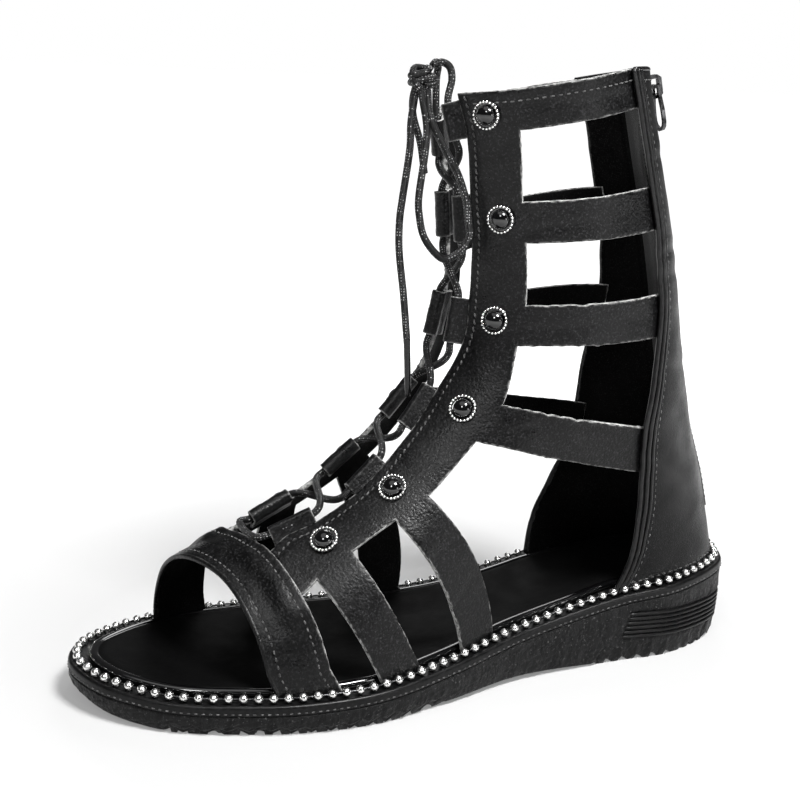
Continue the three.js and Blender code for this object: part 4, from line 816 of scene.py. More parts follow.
bm = bmesh.new(); bm.from_mesh(ob.data)
bmesh.ops.remove_doubles(bm, verts=bm.verts, dist=2e-6)
bmesh.ops.dissolve_degenerate(bm, edges=bm.edges, dist=1e-6)
bmesh.ops.recalc_face_normals(bm, faces=bm.faces)
bm.to_mesh(ob.data); bm.free()

# ---------------------------------------------------------------- bead chain
chain = resample(np.vstack([ring_in(2.85), ring_in(2.85)[:1]]), count=120)[:-1]
parts = Parts()
for k, p in enumerate(chain):
    c = (p[0], p[1], rim_z(p[1]) + 0.15 + 1.25)
    V, F = sphere(c, 1.55, 16, 10)
    parts.add(V, F)
# the wire takes the dark gunmetal finish: painted shade for the dark gaps between the balls
wire = np.column_stack([chain, rim_z(chain[:, 1]) + 1.4])
V, F, UV = tube(resample(np.vstack([wire, wire[:1]]), step=1.2)[:-1], 0.34, 6, closed=True, hint=(0, 0, 1))
parts.add(V, F, 1)
parts.make("ball_chain", [M["beads"], M["gun"]], slot="beads", replaces=("bead_chain",))

# ---------------------------------------------------------------- the upper
def rows_through(P, cells):
    """a curve through points P with a given number of steps in each interval"""
    P = np.asarray(P, float); l = len(P); out = []
    for i in range(l - 1):
        q = [P[i - 1] if i > 0 else 2 * P[0] - P[1], P[i], P[i + 1], P[i + 2] if i + 2 < l else 2 * P[-1] - P[-2]]
        dt = [max(np.sum((q[k + 1][:2] - q[k][:2]) ** 2) ** 0.25, 1e-3) for k in range(3)]
        t1 = ((q[1] - q[0]) / dt[0] - (q[2] - q[0]) / (dt[0] + dt[1]) + (q[2] - q[1]) / dt[1]) * dt[1]
        t2 = ((q[2] - q[1]) / dt[1] - (q[3] - q[1]) / (dt[1] + dt[2]) + (q[3] - q[2]) / dt[2]) * dt[1]
        for k in range(cells[i]):
            w = k / cells[i]
            out.append(q[1] + t1 * w + (-3*q[1] + 3*q[2] - 2*t1 - t2) * w**2 + (2*q[1] - 2*q[2] + t1 + t2) * w**3)
    out.append(P[-1])
    return np.array(out)


def on_section(phi, y):
    phi, y = np.broadcast_arrays(np.asarray(phi, float), np.asarray(y, float))
    lo, hi = np.zeros(y.shape), np.full(y.shape, len(RL) - 1.0)

    def at(s):
        i = np.clip(np.floor(s).astype(int), 0, len(RL) - 2); f = s - i
        a, b = RL[i], RL[i + 1]
        dy, dz = b[..., 0] - a[..., 0], b[..., 1] - a[..., 1]
        l = np.hypot(dy, dz); d = (a[..., 2] * (1 - f) + b[..., 2] * f) * (1 - np.cos(phi))
        return a[..., 0] * (1 - f) + b[..., 0] * f + dz / l * d, a[..., 1] * (1 - f) + b[..., 1] * f - dy / l * d
    for _ in range(36):
        m = (lo + hi) / 2; c = at(m)[0] < y
        lo, hi = np.where(c, m, lo), np.where(c, hi, m)
    return at(lo)[1]


_py = np.arange(-96, -40, 0.5)
_ph = np.full(len(_py), math.pi / 2)
for _ in range(22):
    m = (_ph > 0.7) & (on_section(_ph, _py) < rim_z(_py) + 7.5)
    _ph = np.where(m, _ph - 0.04, _ph)
_ph = np.convolve(np.pad(_ph, 4, mode="edge"), np.ones(9) / 9, "valid")


def vamp_z(g, y):
    g = np.abs(g); phi = np.interp(y, _py, _ph)
    foot = rim_z(y) + 0.5
    top = on_section(phi * np.minimum(g, 0.72) / 0.72, y)
    k = np.clip((g - 0.72) / 0.28, 0, 1)
    return top * (1 - k) + foot * k


def vamp_y(g, t):
    return hermite(VAMP[:, 0], VAMP[:, 1], g) * (1 - t) + hermite(VAMP[:, 0], VAMP[:, 2], g) * t


def vamp_at(g, y):
    z = vamp_z(g, y)
    x = np.where(g < 0, surface_x(-1, y, z), surface_x(1, y, z))
    return np.stack([np.where(np.abs(g) < 1e-6, 0, x), y, z], 1)


def vamp(g, t):
    g, t = np.ravel(g), np.ravel(t)
    y = vamp_y(g, t)
    p = vamp_at(g, y)
    e = 0.02
    a = vamp_at(np.minimum(1, g + e), y) - vamp_at(np.maximum(-1, g - e), y)
    b = vamp_at(g, y + 0.5) - vamp_at(g, y - 0.5)
    n = np.cross(b, a); n /= np.maximum(np.linalg.norm(n, axis=1), 1e-9)[:, None]
    ref = np.stack([np.sign(g) * np.abs(g), 0 * g, 1 - np.abs(g)], 1)
    n[np.sum(n * ref, 1) < 0] *= -1
    return p, n


UPPER = "upper"
stitches = Parts()

# toe strap: its rear edge laps over the feet of the facings, its front edge is rolled
NG, NT = 170, 22
g, t = np.meshgrid(np.linspace(-1, 1, NG + 1), np.linspace(0, 1, NT + 1))
P, N = vamp(g, t)
gg, tt = g.ravel(), t.ravel()
lap = smooth((tt - 0.35) / 0.4) * smooth((np.abs(gg) - 0.10) / 0.09) * (1 - smooth((np.abs(gg) - 0.46) / 0.12))
lift = 0.15 + 1.55 * lap
# soft creases where the strap bends over the toe joint
for c, w, d, skew in ((-0.62, 0.035, 0.30, 0.10), (-0.40, 0.03, 0.22, -0.06), (0.02, 0.03, 0.28, 0.05), (0.30, 0.028, 0.2, 0.07), (0.52, 0.03, 0.34, -0.08), (0.66, 0.025, 0.26, 0.05)):
    s = (gg - c - skew * (tt - 0.5)) / w
    lift += 0.5 * (-d * np.exp(-s * s) * np.sin(np.pi * np.clip(tt * 1.1, 0, 1)) + 0.6 * d * np.exp(-(s - 1.9) ** 2) * np.sin(np.pi * np.clip(tt, 0, 1)))
lift += 0.08 * value_noise(gg * 14 + 5 * tt, 31)
width = 19.0
for line in (3.0 / width, 1 - 3.0 / width):
    lift -= 0.28 * np.exp(-((tt - line) * width / 0.55) ** 2)
leather_sheet("toe_strap", P, N, grid_faces(NT + 1, NG + 1), [M["leather"], M["lining"], M["edge"]], lift=lift, replaces=(UPPER,))
gl = np.linspace(-0.97, 0.97, 260)
for line in (3.0 / width, 1 - 3.0 / width):
    p, n = vamp(gl, np.full(len(gl), line))
    k = 0.15 - 0.28 + 1.55 * smooth((line - 0.35) / 0.4) * smooth((np.abs(gl) - 0.10) / 0.09) * (1 - smooth((np.abs(gl) - 0.46) / 0.12))
    stitch_row(stitches, p + n * (k + 0.02)[:, None], n, pitch=2.5, length=1.6, r=0.28)
# rolled front edge
p, n = vamp(np.linspace(-1, 1, 200), np.zeros(200))
b = np.cross(np.gradient(p, axis=0), n); b /= np.linalg.norm(b, axis=1)[:, None]
if b[100, 1] > 0:
    b = -b
parts = Parts()
V, F, UV = tube(p + b * 0.35 - n * 0.62, 0.95, 10, hint=n[0])
parts.add(V, F, 0, UV)
parts.make("toe_strap_roll", [M["leather"]], slot="leather", replaces=())


def end_at(side, y, z):
    z = rim_z(np.array([y]))[0] + 0.5 if z < rim_z(np.array([y]))[0] + 4 else z
    a, b = unroll(side, y, z)
    return np.array([a[0], b[0]])


DROP = np.array([[0, 0], [76, 0], [88, 4.5], [100, 6], [125, 8], [150, 9.5], [168, 9.5], [188, 6.5], [260, 5.4]])


def lowered(side, y, z):
    """on the inner side the rungs, their studs and the collar sit a little lower: points slide down along the ridge"""
    if side > 0 or z <= 76:
        return y, z
    low = z - np.interp(z, DROP[:, 0], DROP[:, 1])
    return y + np.interp(low, RL[:, 1], RL[:, 0]) - np.interp(z, RL[:, 1], RL[:, 0]), low


def front_edge(side, row):
    a, b = unroll(side, *lowered(side, row[1], row[2])); n = to_ridge(a, b)
    return np.array([a[0] - n.ny[0] * MARGIN, b[0] - n.nz[0] * MARGIN])


def rung_end(side, row):
    return end_at(side, row[5], row[6]) if side > 0 else end_at(side, row[7], row[8])


def back_at(z):
    z = np.clip(np.ravel(z).astype(float), BL[0, 1], BL[-1, 1])
    i = np.clip(np.searchsorted(BL[:, 1], z) - 1, 0, len(BL) - 2)
    a, b = BL[i], BL[i + 1]; t = (z - a[:, 1]) / (b[:, 1] - a[:, 1])
    dy, dz = b[:, 0] - a[:, 0], b[:, 1] - a[:, 1]; l = np.hypot(dy, dz)
    r = Near(); r.y, r.z, r.round = a[:, 0] + dy * t, z, a[:, 2] + (b[:, 2] - a[:, 2]) * t
    r.ny, r.nz = -dz / l, dy / l
    return r


SIDE = {1: "outer", -1: "inner"}
edge_curve = {}
for side in (1, -1):
    tag = SIDE[side]
    # facing: two rows under the toe strap, then the table's rows
    fr, re = [], []
    for tv in (0.5, 1.0):
        for girth, dst in ((0.2, fr), (0.41, re)):
            y = vamp_y(np.array([side * girth]), tv); z = vamp_z(np.array([girth]), y)
            a, b = unroll(side, y, z); dst.append(np.array([a[0], b[0]]))
    for r in LADDER:
        fr.append(front_edge(side, r))
        a, b = unroll(side, *lowered(side, r[3], r[4])); re.append(np.array([a[0], b[0]]))
    cells = [max(3, int(round(np.linalg.norm(re[i + 1] - re[i]) / 1.15))) for i in range(len(fr) - 1)]
    starts = np.concatenate([[0], np.cumsum(cells)])
    FR, RE = rows_through(fr, cells), rows_through(re, cells)
    C = 13
    uv = np.stack([FR * (1 - i / C) + RE * (i / C) for i in range(C + 1)], 1)
    nr = len(FR)
    UVs = [uv.reshape(-1, 2)]
    quads = grid_faces(nr, C + 1)
    base = nr * (C + 1)
    under = np.zeros(base)
    u_front = np.zeros(base)
    rows_i = np.repeat(np.arange(nr), C + 1)
    under[rows_i < starts[1]] = 1.0
    edge_dist = np.tile(np.arange(C + 1) / C, nr) * np.repeat(np.linalg.norm(FR - RE, axis=1), C + 1)
    kinds = [np.zeros(base)]
    stitch_lift = -0.30 * np.exp(-((edge_dist - MARGIN) / 0.55) ** 2)
    lifts = [stitch_lift]
    for name, low, high in RUNGS:
        a, b = LADDER[low], LADDER[high]
        j0, j1 = starts[low + 2], starts[high + 2]
        n = j1 - j0
        ea, eb = rung_end(side, a), rung_end(side, b)
        length = np.linalg.norm((ea + eb) / 2 - (RE[j0] + RE[j1]) / 2)
        m = int(round(length / 1.25))
        reach = 1.0 + (2.6 / length if low >= 4 else 0.0)
        ids = np.empty((n + 1, m + 1), int)
        new, lf = [], []
        for j in range(n + 1):
            k = j / n; s = RE[j0 + j]; e = ea * (1 - k) + eb * k
            bow = a[9] * (1 - k) + b[9] * k
            ids[j, 0] = (j0 + j) * (C + 1) + C
            for i in range(1, m + 1):
                tq = reach * i / m; q = s * (1 - tq) + e * tq
                new.append((q[0] + bow * 4 * tq * (1 - tq), q[1])); ids[j, i] = base + len(new) - 1
                sag = 0.0
                if low >= 4:   # a strap held at both ends curls a little along its edges
                    sag = 0.30 * math.sin(math.pi * min(1, tq)) * (2 * k - 1) ** 2
                lf.append(sag)
        UVs.append(np.array(new)); base += len(new)
        for j in range(n):
            for i in range(m):
                quads.append((ids[j, i], ids[j, i + 1], ids[j + 1, i + 1], ids[j + 1, i]))
        lifts.append(np.array(lf))
    uvs = np.vstack(UVs)
    P, N = on_last(side, uvs[:, 0], uvs[:, 1])
    P = seated(side, P)
    lift = np.concatenate(lifts)
    # the foot of the facing lies under the toe strap
    lift[:len(under)] -= under * 0.15
    # leather waves a little, and folds softly at the ankle's bend
    lift += 0.16 * value_noise(P[:, 1] / 9 + P[:, 2] / 13, 41 + side) + 0.10 * value_noise(P[:, 2] / 5.5 - P[:, 1] / 8, 45 + side)
    for (fy, fz, ang, w, l, d) in ((30, 94, 0.25, 1.6, 20, 0.34), (48, 88, -0.2, 1.3, 16, 0.28), (36, 126, 0.12, 1.5, 18, 0.26), (52, 129, -0.15, 1.2, 12, 0.22),
                                   (-16, 40, 1.0, 1.6, 14, 0.34), (-6, 32, 0.9, 1.4, 12, 0.26), (-34, 32, 1.05, 1.5, 12, 0.30), (34, 160, 0.2, 1.4, 16, 0.24), (36, 200, 0.12, 1.5, 18, 0.26)):
        c, s = math.cos(ang), math.sin(ang)
        a_, b_ = (P[:, 1] - fy) * c + (P[:, 2] - fz) * s, -(P[:, 1] - fy) * s + (P[:, 2] - fz) * c
        lift += -d * np.exp(-(b_ / w) ** 2 - (a_ / l) ** 2) + 0.5 * d * np.exp(-((b_ - 1.9 * w) / w) ** 2 - (a_ / l) ** 2)
    Q = np.array(quads)
    # outward winding
    e1, e2 = P[Q[:, 1]] - P[Q[:, 0]], P[Q[:, 3]] - P[Q[:, 0]]
    flip = np.sum(np.cross(e1, e2) * N[Q[:, 0]], 1) < 0
    Q = np.where(flip[:, None], Q[:, ::-1], Q)
    leather_sheet("lattice_" + tag, P, N, Q, [M["leather"], M["lining"], M["edge"]], lift=lift, replaces=(UPPER,))
    # stitches up the facing, and along the collar's top
    line = FR + (RE - FR) * (MARGIN / np.linalg.norm(RE - FR, axis=1))[:, None]
    line = resample(line[starts[1] + 1:], step=1.0)
    p, n = on_last(side, line[:, 0], line[:, 1])
    stitch_row(stitches, p - n * 0.18, n, pitch=2.4, length=1.6, r=0.28, tilt=0.5)
    edge_curve[side] = (FR, RE, starts)
    # collar's stitch row, 3.5 mm under the top
    a, b = LADDER[10], LADDER[11]
    s_top, e_top = RE[starts[13]], rung_end(side, b)
    s_low, e_low = RE[starts[12]], rung_end(side, a)
    f_top, f_low = FR[starts[13]], FR[starts[12]]
    h = np.linalg.norm(s_top - s_low)
    k = 1 - 3.4 / h
    path = np.array([f_low * (1 - k) + f_top * k + (s_top - f_top) * 0.25, s_low * (1 - k) + s_top * k, e_low * (1 - k) + e_top * k])
    path = resample(path, step=1.0)
    p, n = on_last(side, path[:, 0], path[:, 1])
    stitch_row(stitches, p + n * 0.05, n, pitch=2.6, length=1.7, r=0.24)

    # ---- counter
    rows = []
    for c in COUNTER_FOOT[::-1]:
        e = end_at(side, c[0], c[1]) if side > 0 else end_at(side, c[2], c[3])
        rows.append([e[0], e[1], c[4]])
    rows[0][2] = rim_z(np.array([HEEL_TIP[1] - 5]))[0] + 0.8
    for name, low, high in RUNGS[2:]:
        mean = LADDER[high]; other = (mean[8] - mean[6]) / 2 * (1 if side > 0 else -1)
        for q in (LADDER[low], LADDER[high]):
            e = rung_end(side, q); y, z = roll(side, e[0], e[1])
            rows.append([e[0], e[1], z[0] + other + (1.6 if name == "collar" else 0)])
        if name != "collar":
            rows.append(None)
    for k, r in enumerate(rows):
        if r is None:
            rows[k] = None
    known = [k for k, r in enumerate(rows) if r is not None]
    for k, r in enumerate(rows):
        if r is None:
            nxt_name = RUNGS[2 + sum(1 for q in range(k) if q > 3 and (q - 4) % 3 == 2) + 1]
            e = rung_end(side, LADDER[nxt_name[1]]); y, z = roll(side, e[0], e[1])
            mean = LADDER[nxt_name[2]]; other = (mean[8] - mean[6]) / 2 * (1 if side > 0 else -1)
            nxt = [e[0], e[1], z[0] + other + (1.6 if nxt_name[0] == "collar" else 0)]
            rows[k] = [(a + b) / 2 for a, b in zip(rows[k - 1], nxt)]
    rows = np.array(rows)
    cells = [max(2, int(round(np.linalg.norm(rows[i + 1, :2] - rows[i, :2]) / 1.3))) for i in range(len(rows) - 1)]
    E = rows_through(rows, cells)
    foot = back_at(E[:, 2])
    w = full_width(side, foot.y - foot.round, foot.z); q = quarter(foot.round, w)
    ry, rz = foot.y + foot.ny * (foot.round - q), foot.z + foot.nz * (foot.round - q)
    slot, most = np.zeros(len(E)), np.full(len(E), 12.0)
    zipped = E[:, 2] > ZIP_FOOT_Z
    for _ in range(22):
        mid = (slot + most) / 2
        y, z = roll(side, ry + foot.ny * mid, rz + foot.nz * mid)
        c = (np.abs(surface_x(side, y, z)) < ZIP_HALF) & zipped
        slot = np.where(c, mid, slot); most = np.where(c, most, mid)
    slot = np.where(zipped, slot, 0)
    inner = np.stack([ry + foot.ny * slot, rz + foot.nz * slot], 1)
    K = 44
    uv = np.stack([E[:, :2] * (1 - i / K) + inner * (i / K) for i in range(K + 1)], 1)
    P, N = on_last(side, uv[..., 0], uv[..., 1])
    P = seated(side, P).reshape(len(E), K + 1, 3); N = N.reshape(len(E), K + 1, 3)
    closed = slot == 0
    P[closed, -1, 0] = 0
    N[closed, -1] = np.stack([0 * foot.ny, -foot.ny, -foot.nz], 1)[closed]
    gap = np.linalg.norm(uv[:, 1:] - uv[:, :-1], axis=2); arc = np.concatenate([np.zeros((len(E), 1)), np.cumsum(gap, 1)], 1)
    from_rear = arc[:, -1:] - arc
    lift = 0.25 + 1.25 * (1 - smooth((arc - 3) / 22))
    lift = lift + 0.55 * (1 - smooth((from_rear - 7.0) / 0.9)) * zipped[:, None]      # binding along the zip
    zz, y_ = P[..., 2], P[..., 1]
    lift = lift + 0.16 * value_noise(zz / 17 + y_ / 11, 51 + side) + 0.08 * value_noise(zz / 7 - y_ / 9, 53 + side)
    for (fy, fz, ang, w_, l, d) in ((84, 72, -0.5, 2.6, 16, 0.5), (92, 64, -0.35, 2.2, 12, 0.4), (88, 108, -0.15, 2.4, 14, 0.35), (80, 142, 0.05, 2.4, 14, 0.35), (76, 150, 0.1, 1.8, 12, 0.25), (74, 182, 0.15, 2.2, 12, 0.3)):
        c, s = math.cos(ang), math.sin(ang)
        a_, b_ = (y_ - fy) * c + (zz - fz) * s, -(y_ - fy) * s + (zz - fz) * c
        lift = lift - d * np.exp(-(b_ / w_) ** 2 - (a_ / l) ** 2) + 0.5 * d * np.exp(-((b_ - 1.9 * w_) / w_) ** 2 - (a_ / l) ** 2)
    Q = np.array(grid_faces(len(E), K + 1))
    PP, NN = P.reshape(-1, 3), N.reshape(-1, 3)
    e1, e2 = PP[Q[:, 1]] - PP[Q[:, 0]], PP[Q[:, 3]] - PP[Q[:, 0]]
    if np.mean(np.sum(np.cross(e1, e2) * NN[Q[:, 0]], 1) < 0) > 0.5:
        Q = Q[:, ::-1]
    leather_sheet("counter_" + tag, PP, NN, Q, [M["counter"], M["lining"], M["piping"]], lift=lift.ravel(), replaces=(UPPER,), thick=1.5)
    L2 = lift
    # double piping down the front edge
    pipes = Parts()
    top_of = lambda k: P[:, k] + N[:, k] * L2[:, k][:, None]
    for d, r in ((-0.25, 0.92), (1.75, 0.86), (3.6, 0.62)):
        col = np.array([np.interp(d, arc[j], np.arange(K + 1)) for j in range(len(E))])
        i0 = np.clip(np.floor(col).astype(int), 0, K - 1); f = (col - i0)[:, None]
        jj = np.arange(len(E))
        surf = P[jj, i0] * (1 - f) + P[jj, i0 + 1] * f; nn = N[jj, i0] * (1 - f) + N[jj, i0 + 1] * f
        lf = L2[jj, i0] * (1 - f[:, 0]) + L2[jj, i0 + 1] * f[:, 0]
        if d < 0:
            tang = P[:, 0] - P[:, 1]; tang /= np.linalg.norm(tang, axis=1)[:, None]
            surf = P[:, 0] + tang * (-d); lf = L2[:, 0] - 0.25
        path = resample(surf + nn * lf[:, None] + nn * 0.05, step=1.2)
        V, F, UV = tube(path, r * (1 + 0.05 * value_noise(np.arange(len(path)) / 2.3, 61)), 10, hint=(0, 1, 0))
        pipes.add(V, F, 0, UV)
    # binding at the top of the counter
    tp = top_of(0) * 0
    path = P[-1] + N[-1] * (L2[-1][:, None] - 0.75)
    V, F, UV = tube(resample(path[1:], step=1.2), 0.95, 10, hint=(0, 0, 1))
    pipes.add(V, F, 0, UV)
    pipes.make("piping_" + tag, [M["piping"]], slot="leather")
    # stitches: behind the piping, above the beads, under the top edge, beside the zip
    def column(dist, lo_row=0, hi_row=None, rear=False):
        ref = from_rear if rear else arc
        pts, nrm = [], []
        for j in range(lo_row, len(E) if hi_row is None else hi_row):
            if rear:
                c = np.interp(-dist, -ref[j], np.arange(K + 1))
            else:
                c = np.interp(dist, ref[j], np.arange(K + 1))
            i0 = min(int(c), K - 1); f = c - i0
            pts.append(P[j, i0] * (1 - f) + P[j, i0 + 1] * f + N[j, i0] * (L2[j, i0] * (1 - f) + L2[j, i0 + 1] * f)); nrm.append(N[j, i0])
        return resample(np.hstack([pts, nrm]), step=1.0)
    c = column(5.3, 2, len(E) - 2)
    stitch_row(stitches, c[:, :3] - c[:, 3:] * 0.06, c[:, 3:], pitch=2.6, length=1.6, r=0.22)
    zr = np.where(zipped)[0]
    c = column(6.0, zr[0] + 2, len(E) - 2, rear=True)
    stitch_row(stitches, c[:, :3] - c[:, 3:] * 0.06, c[:, 3:], pitch=2.4, length=1.5, r=0.2)
    jrow = 3
    row = P[jrow] + N[jrow] * L2[jrow][:, None]
    stitch_row(stitches, row[3:-1] - N[jrow, 3:-1] * 0.05, N[jrow, 3:-1], pitch=2.8, length=1.8, r=0.22)
    jrow = len(E) - 4
    row = P[jrow] + N[jrow] * L2[jrow][:, None]
    stitch_row(stitches, row[4:-6] - N[jrow, 4:-6] * 0.05, N[jrow, 4:-6], pitch=2.6, length=1.7, r=0.22)
stitches.make("stitches", [M["thread"]], slot="leather")

# ---------------------------------------------------------------- lace loops
def facing_edge(side):
    U = []
    for r in range(len(LADDER)):
        for k in range(8 if r + 1 < len(LADDER) else 1):
            a = front_edge(side, LADDER[r]); b = front_edge(side, LADDER[r + 1]) if k else a
            U.append(a + (b - a) * k / 8)
    U = np.array(U)
    return on_last(side, U[:, 0], U[:, 1])


_edges = {s: facing_edge(s) for s in (1, -1)}
unit = lambda v: v / np.linalg.norm(v)


def loop_frame(side, loop):
    p, nrm = _edges[side]
    m = 0
    height = loop[0] - 5.5 if side < 0 and loop[0] > 180 else loop[0]
    while p[m, 2] < height:
        m += 1
    t = (height - p[m - 1, 2]) / (p[m, 2] - p[m - 1, 2]); mid = p[m - 1] * (1 - t) + p[m] * t
    near = p[np.linalg.norm(p - mid, axis=1) < loop[2] / 2 + 1.5]
    upv = unit(near[-1] - near[0]); n = nrm[m]; n = unit(n - upv * n.dot(upv))
    across = np.cross(upv, n)
    if across[0] * side < 0:
        across = -across
    closest = min((e - mid).dot(across) for e in near)
    centre = mid + across * (closest - LOOP_R - LOOP_CLEAR) + n * loop[1]
    return dict(centre=centre, up=upv, across=across, out=n, inward=unit(np.array([0, -n[1], -n[2]])), proud=loop[1], length=loop[2])


def bezier(P, count):
    P = np.array(P, float); t = np.linspace(0, 1, count)[:, None]
    return (1 - t) ** 3 * P[0] + 3 * (1 - t) ** 2 * t * P[1] + 3 * (1 - t) * t * t * P[2] + t ** 3 * P[3]


for side in (1, -1):
    for k, loop in enumerate(LOOPS):
        f = loop_frame(side, loop)
        pr = f["proud"]
        y_face = -pr + 0.1
        R = LOOP_R - 0.1
        # section, from the stitch line over the top, round the front and back beneath the facing
        sec = [bezier([(7.0, y_face - 2.2), (4.4, y_face - 2.0), (2.9, max(y_face - 0.9, -1.4)), (0.3, R)], 11)]
        ang = np.radians(np.linspace(86, 274, 17)); sec.append(np.column_stack([R * np.cos(ang), R * np.sin(ang)]))
        sec.append(bezier([(0.5, -R), (2.4, -R - 0.1), (3.4, y_face - 3.3), (6.4, y_face - 3.3)], 8))
        S = resample(np.vstack(sec), count=40)
        n_up = int(loop[2] / 0.9)
        us = np.linspace(-loop[2] / 2, loop[2] / 2, n_up + 1)
        tang = np.gradient(S, axis=0); nrm2 = np.column_stack([-tang[:, 1], tang[:, 0]])
        nrm2 /= np.linalg.norm(nrm2, axis=1)[:, None]
        mid_i = 20
        if (nrm2[mid_i] * S[mid_i]).sum() < 0:
            nrm2 = -nrm2
        P, N = [], []
        for u in us:
            w = u / (loop[2] / 2)
            grow = 1 + 0.05 * w * w + 0.02 * math.sin(5 * w + k * 2 + side)          # the tab opens a little at its ends
            taper = 1 - 0.10 * max(0, (abs(w) - 0.75) / 0.25) ** 2
            for (a, b), (na, nb) in zip(S, nrm2):
                aa = a * grow if a < 0 else a
                wob = 0.10 * math.sin(u * 0.9 + a * 0.7 + k) + 0.06 * math.sin(u * 2.3 + k * 3)
                # the stitched end is a little wider than the rolled front
                uu = u * (1 + 0.035 * min(1, max(0, a) / 6))
                P.append(f["centre"] + f["across"] * aa + f["out"] * (b + wob * (0.6 if a < 3 else 0.2)) + f["up"] * uu)
                N.append(f["across"] * na + f["out"] * nb)
        P, N = np.array(P), np.array(N)
        Q = np.array(grid_faces(n_up + 1, len(S)))
        e1, e2 = P[Q[:, 1]] - P[Q[:, 0]], P[Q[:, 3]] - P[Q[:, 0]]
        if np.mean(np.sum(np.cross(e1, e2) * N[Q[:, 0]], 1) < 0) > 0.5:
            Q = Q[:, ::-1]
        name = "lace_loop_%s_%d" % (SIDE[side], k + 1)
        leather_sheet("loop_%s_%d" % (SIDE[side], k + 1), P, N, Q, [M["leather"], M["lining"], M["edge"]], thick=0.8, rim_r=0.22, replaces=(name,))

# ---------------------------------------------------------------- studs
for side in (1, -1):
    for k, (y, z) in enumerate(STUDS):
        u, v = unroll(side, *lowered(side, y, z)); p, n = on_last(side, u, v); p, n = p[0], n[0]
        a = unit(np.cross(n, [0, 0, 1.0])); b = np.cross(n, a); A = np.array([a, b, n])
        parts = Parts()
        prof = [(4.6, 0.05), (4.75, 0.2), (4.65, 0.45), (4.3, 0.52), (3.5, 0.5), (2.9, 0.4)]
        seg = 36
        V = np.array([[r * math.cos(2 * math.pi * i / seg), r * math.sin(2 * math.pi * i / seg), h] for r, h in prof for i in range(seg)])
        parts.add(V @ A + p + n * 0.2, grid_faces(len(prof), seg, close_cols=True, flip=False), 1)
        for i in range(23):
            t = 2 * math.pi * (i + 0.3 * k) / 23
            c = np.array([4.3 * math.cos(t), 4.3 * math.sin(t), 0.95]) @ A + p + n * 0.2
            V, F = sphere(c, 0.50, 10, 8)
            parts.add(V, F, 0)
        prof = [(3.25, 0.3), (3.3, 0.9), (3.18, 1.5), (2.86, 2.15), (2.34, 2.7), (1.66, 3.1), (0.88, 3.34), (0.35, 3.42), (0.02, 3.43)]
        V = np.array([[r * math.cos(2 * math.pi * i / seg), r * math.sin(2 * math.pi * i / seg), h] for r, h in prof for i in range(seg)])
        parts.add(V @ A + p + n * 0.2, grid_faces(len(prof), seg, close_cols=True), 1)
        parts.make("studs_%s_%d" % (SIDE[side], k + 1), [M["beads"], M["dome"]], slot="studs", replaces=("stud_%s_%d" % (SIDE[side], k + 1),))

# ---------------------------------------------------------------- zip
zs = np.linspace(ZIP_FOOT_Z + 0.2, 209.5, 118)
bk = back_at(zs)
zc = np.column_stack([0 * zs, bk.y, bk.z]); zo = np.column_stack([0 * zs, -bk.ny, -bk.nz])
zu = np.gradient(zc, axis=0); zu /= np.linalg.norm(zu, axis=1)[:, None]
parts = Parts()
for s in (1, -1):
    xs = np.array([0.35, 1.0, 1.6, 2.4, 3.3, 4.6, 6.0]); hh = np.array([-0.35, -0.35, -0.55, -0.75, -0.85, -1.3, -2.0])
    V = (zc[:, None] + np.array([s, 0, 0])[None, None] * xs[None, :, None] + zo[:, None] * hh[None, :, None]).reshape(-1, 3)
    parts.add(V, grid_faces(len(zs), len(xs), flip=s > 0), 0)
    W = (zc[:, None] + np.array([s, 0, 0])[None, None] * xs[None, :, None] + zo[:, None] * (hh - 0.5)[None, :, None]).reshape(-1, 3)
    parts.add(W, grid_faces(len(zs), len(xs), flip=s < 0), 0)
parts.make("zip_tapes", [M["tape"]], slot="zip_tape", replaces=("zip_chain",))
parts = Parts()
pitch = 1.55
L = np.concatenate([[0], np.cumsum(np.linalg.norm(np.diff(zc, axis=0), axis=1))])
tooth = np.array([(-0.2, 0, -0.48), (0.9, 0, -0.48), (1.55, 0, -0.36), (1.55, 0, 0.36), (0.9, 0, 0.48), (-0.2, 0, 0.48), (-0.45, 0, 0.25), (-0.45, 0, -0.25)])
for s in (1, -1):
    for u in np.arange(8.6 + (0.5 * pitch if s > 0 else 0), L[-1] - 3.0, pitch):
        c = np.array([np.interp(u, L, zc[:, k]) for k in range(3)]); o = np.array([np.interp(u, L, zo[:, k]) for k in range(3)]); w = np.array([np.interp(u, L, zu[:, k]) for k in range(3)])
        V = []
        for h, sh in ((-0.55, 0.92), (0.28, 1.0), (0.48, 0.8)):
            for a, _, b in tooth:
                V.append(c + np.array([s, 0, 0]) * ((a - 0.55) * sh + 0.55) + w * b * sh + o * h)
        F = grid_faces(3, 8, close_cols=True, flip=s < 0)
        F += [tuple(range(16, 24)) if s > 0 else tuple(range(23, 15, -1)), tuple(range(7, -1, -1)) if s > 0 else tuple(range(8))]
        parts.add(V, F, 0)
ob = parts.make("zip_teeth", [M["teeth"]], slot="zip_metal", smooth_shade=False)
for name in ("zip_slider", "zip_pull"):
    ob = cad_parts[name]
    ob.data.materials.clear() if False else None
    if ob.material_slots:
        for sl in ob.material_slots:
            sl.material = M["gun"]

# ---------------------------------------------------------------- lace
def through_loop(side, loop, downwards):
    f = loop_frame(side, loop)
    l = [f["centre"] + f["up"] * t * (loop[2] + 1.6) for t in (-0.5, 0.5)]
    return l[::-1] if downwards else l


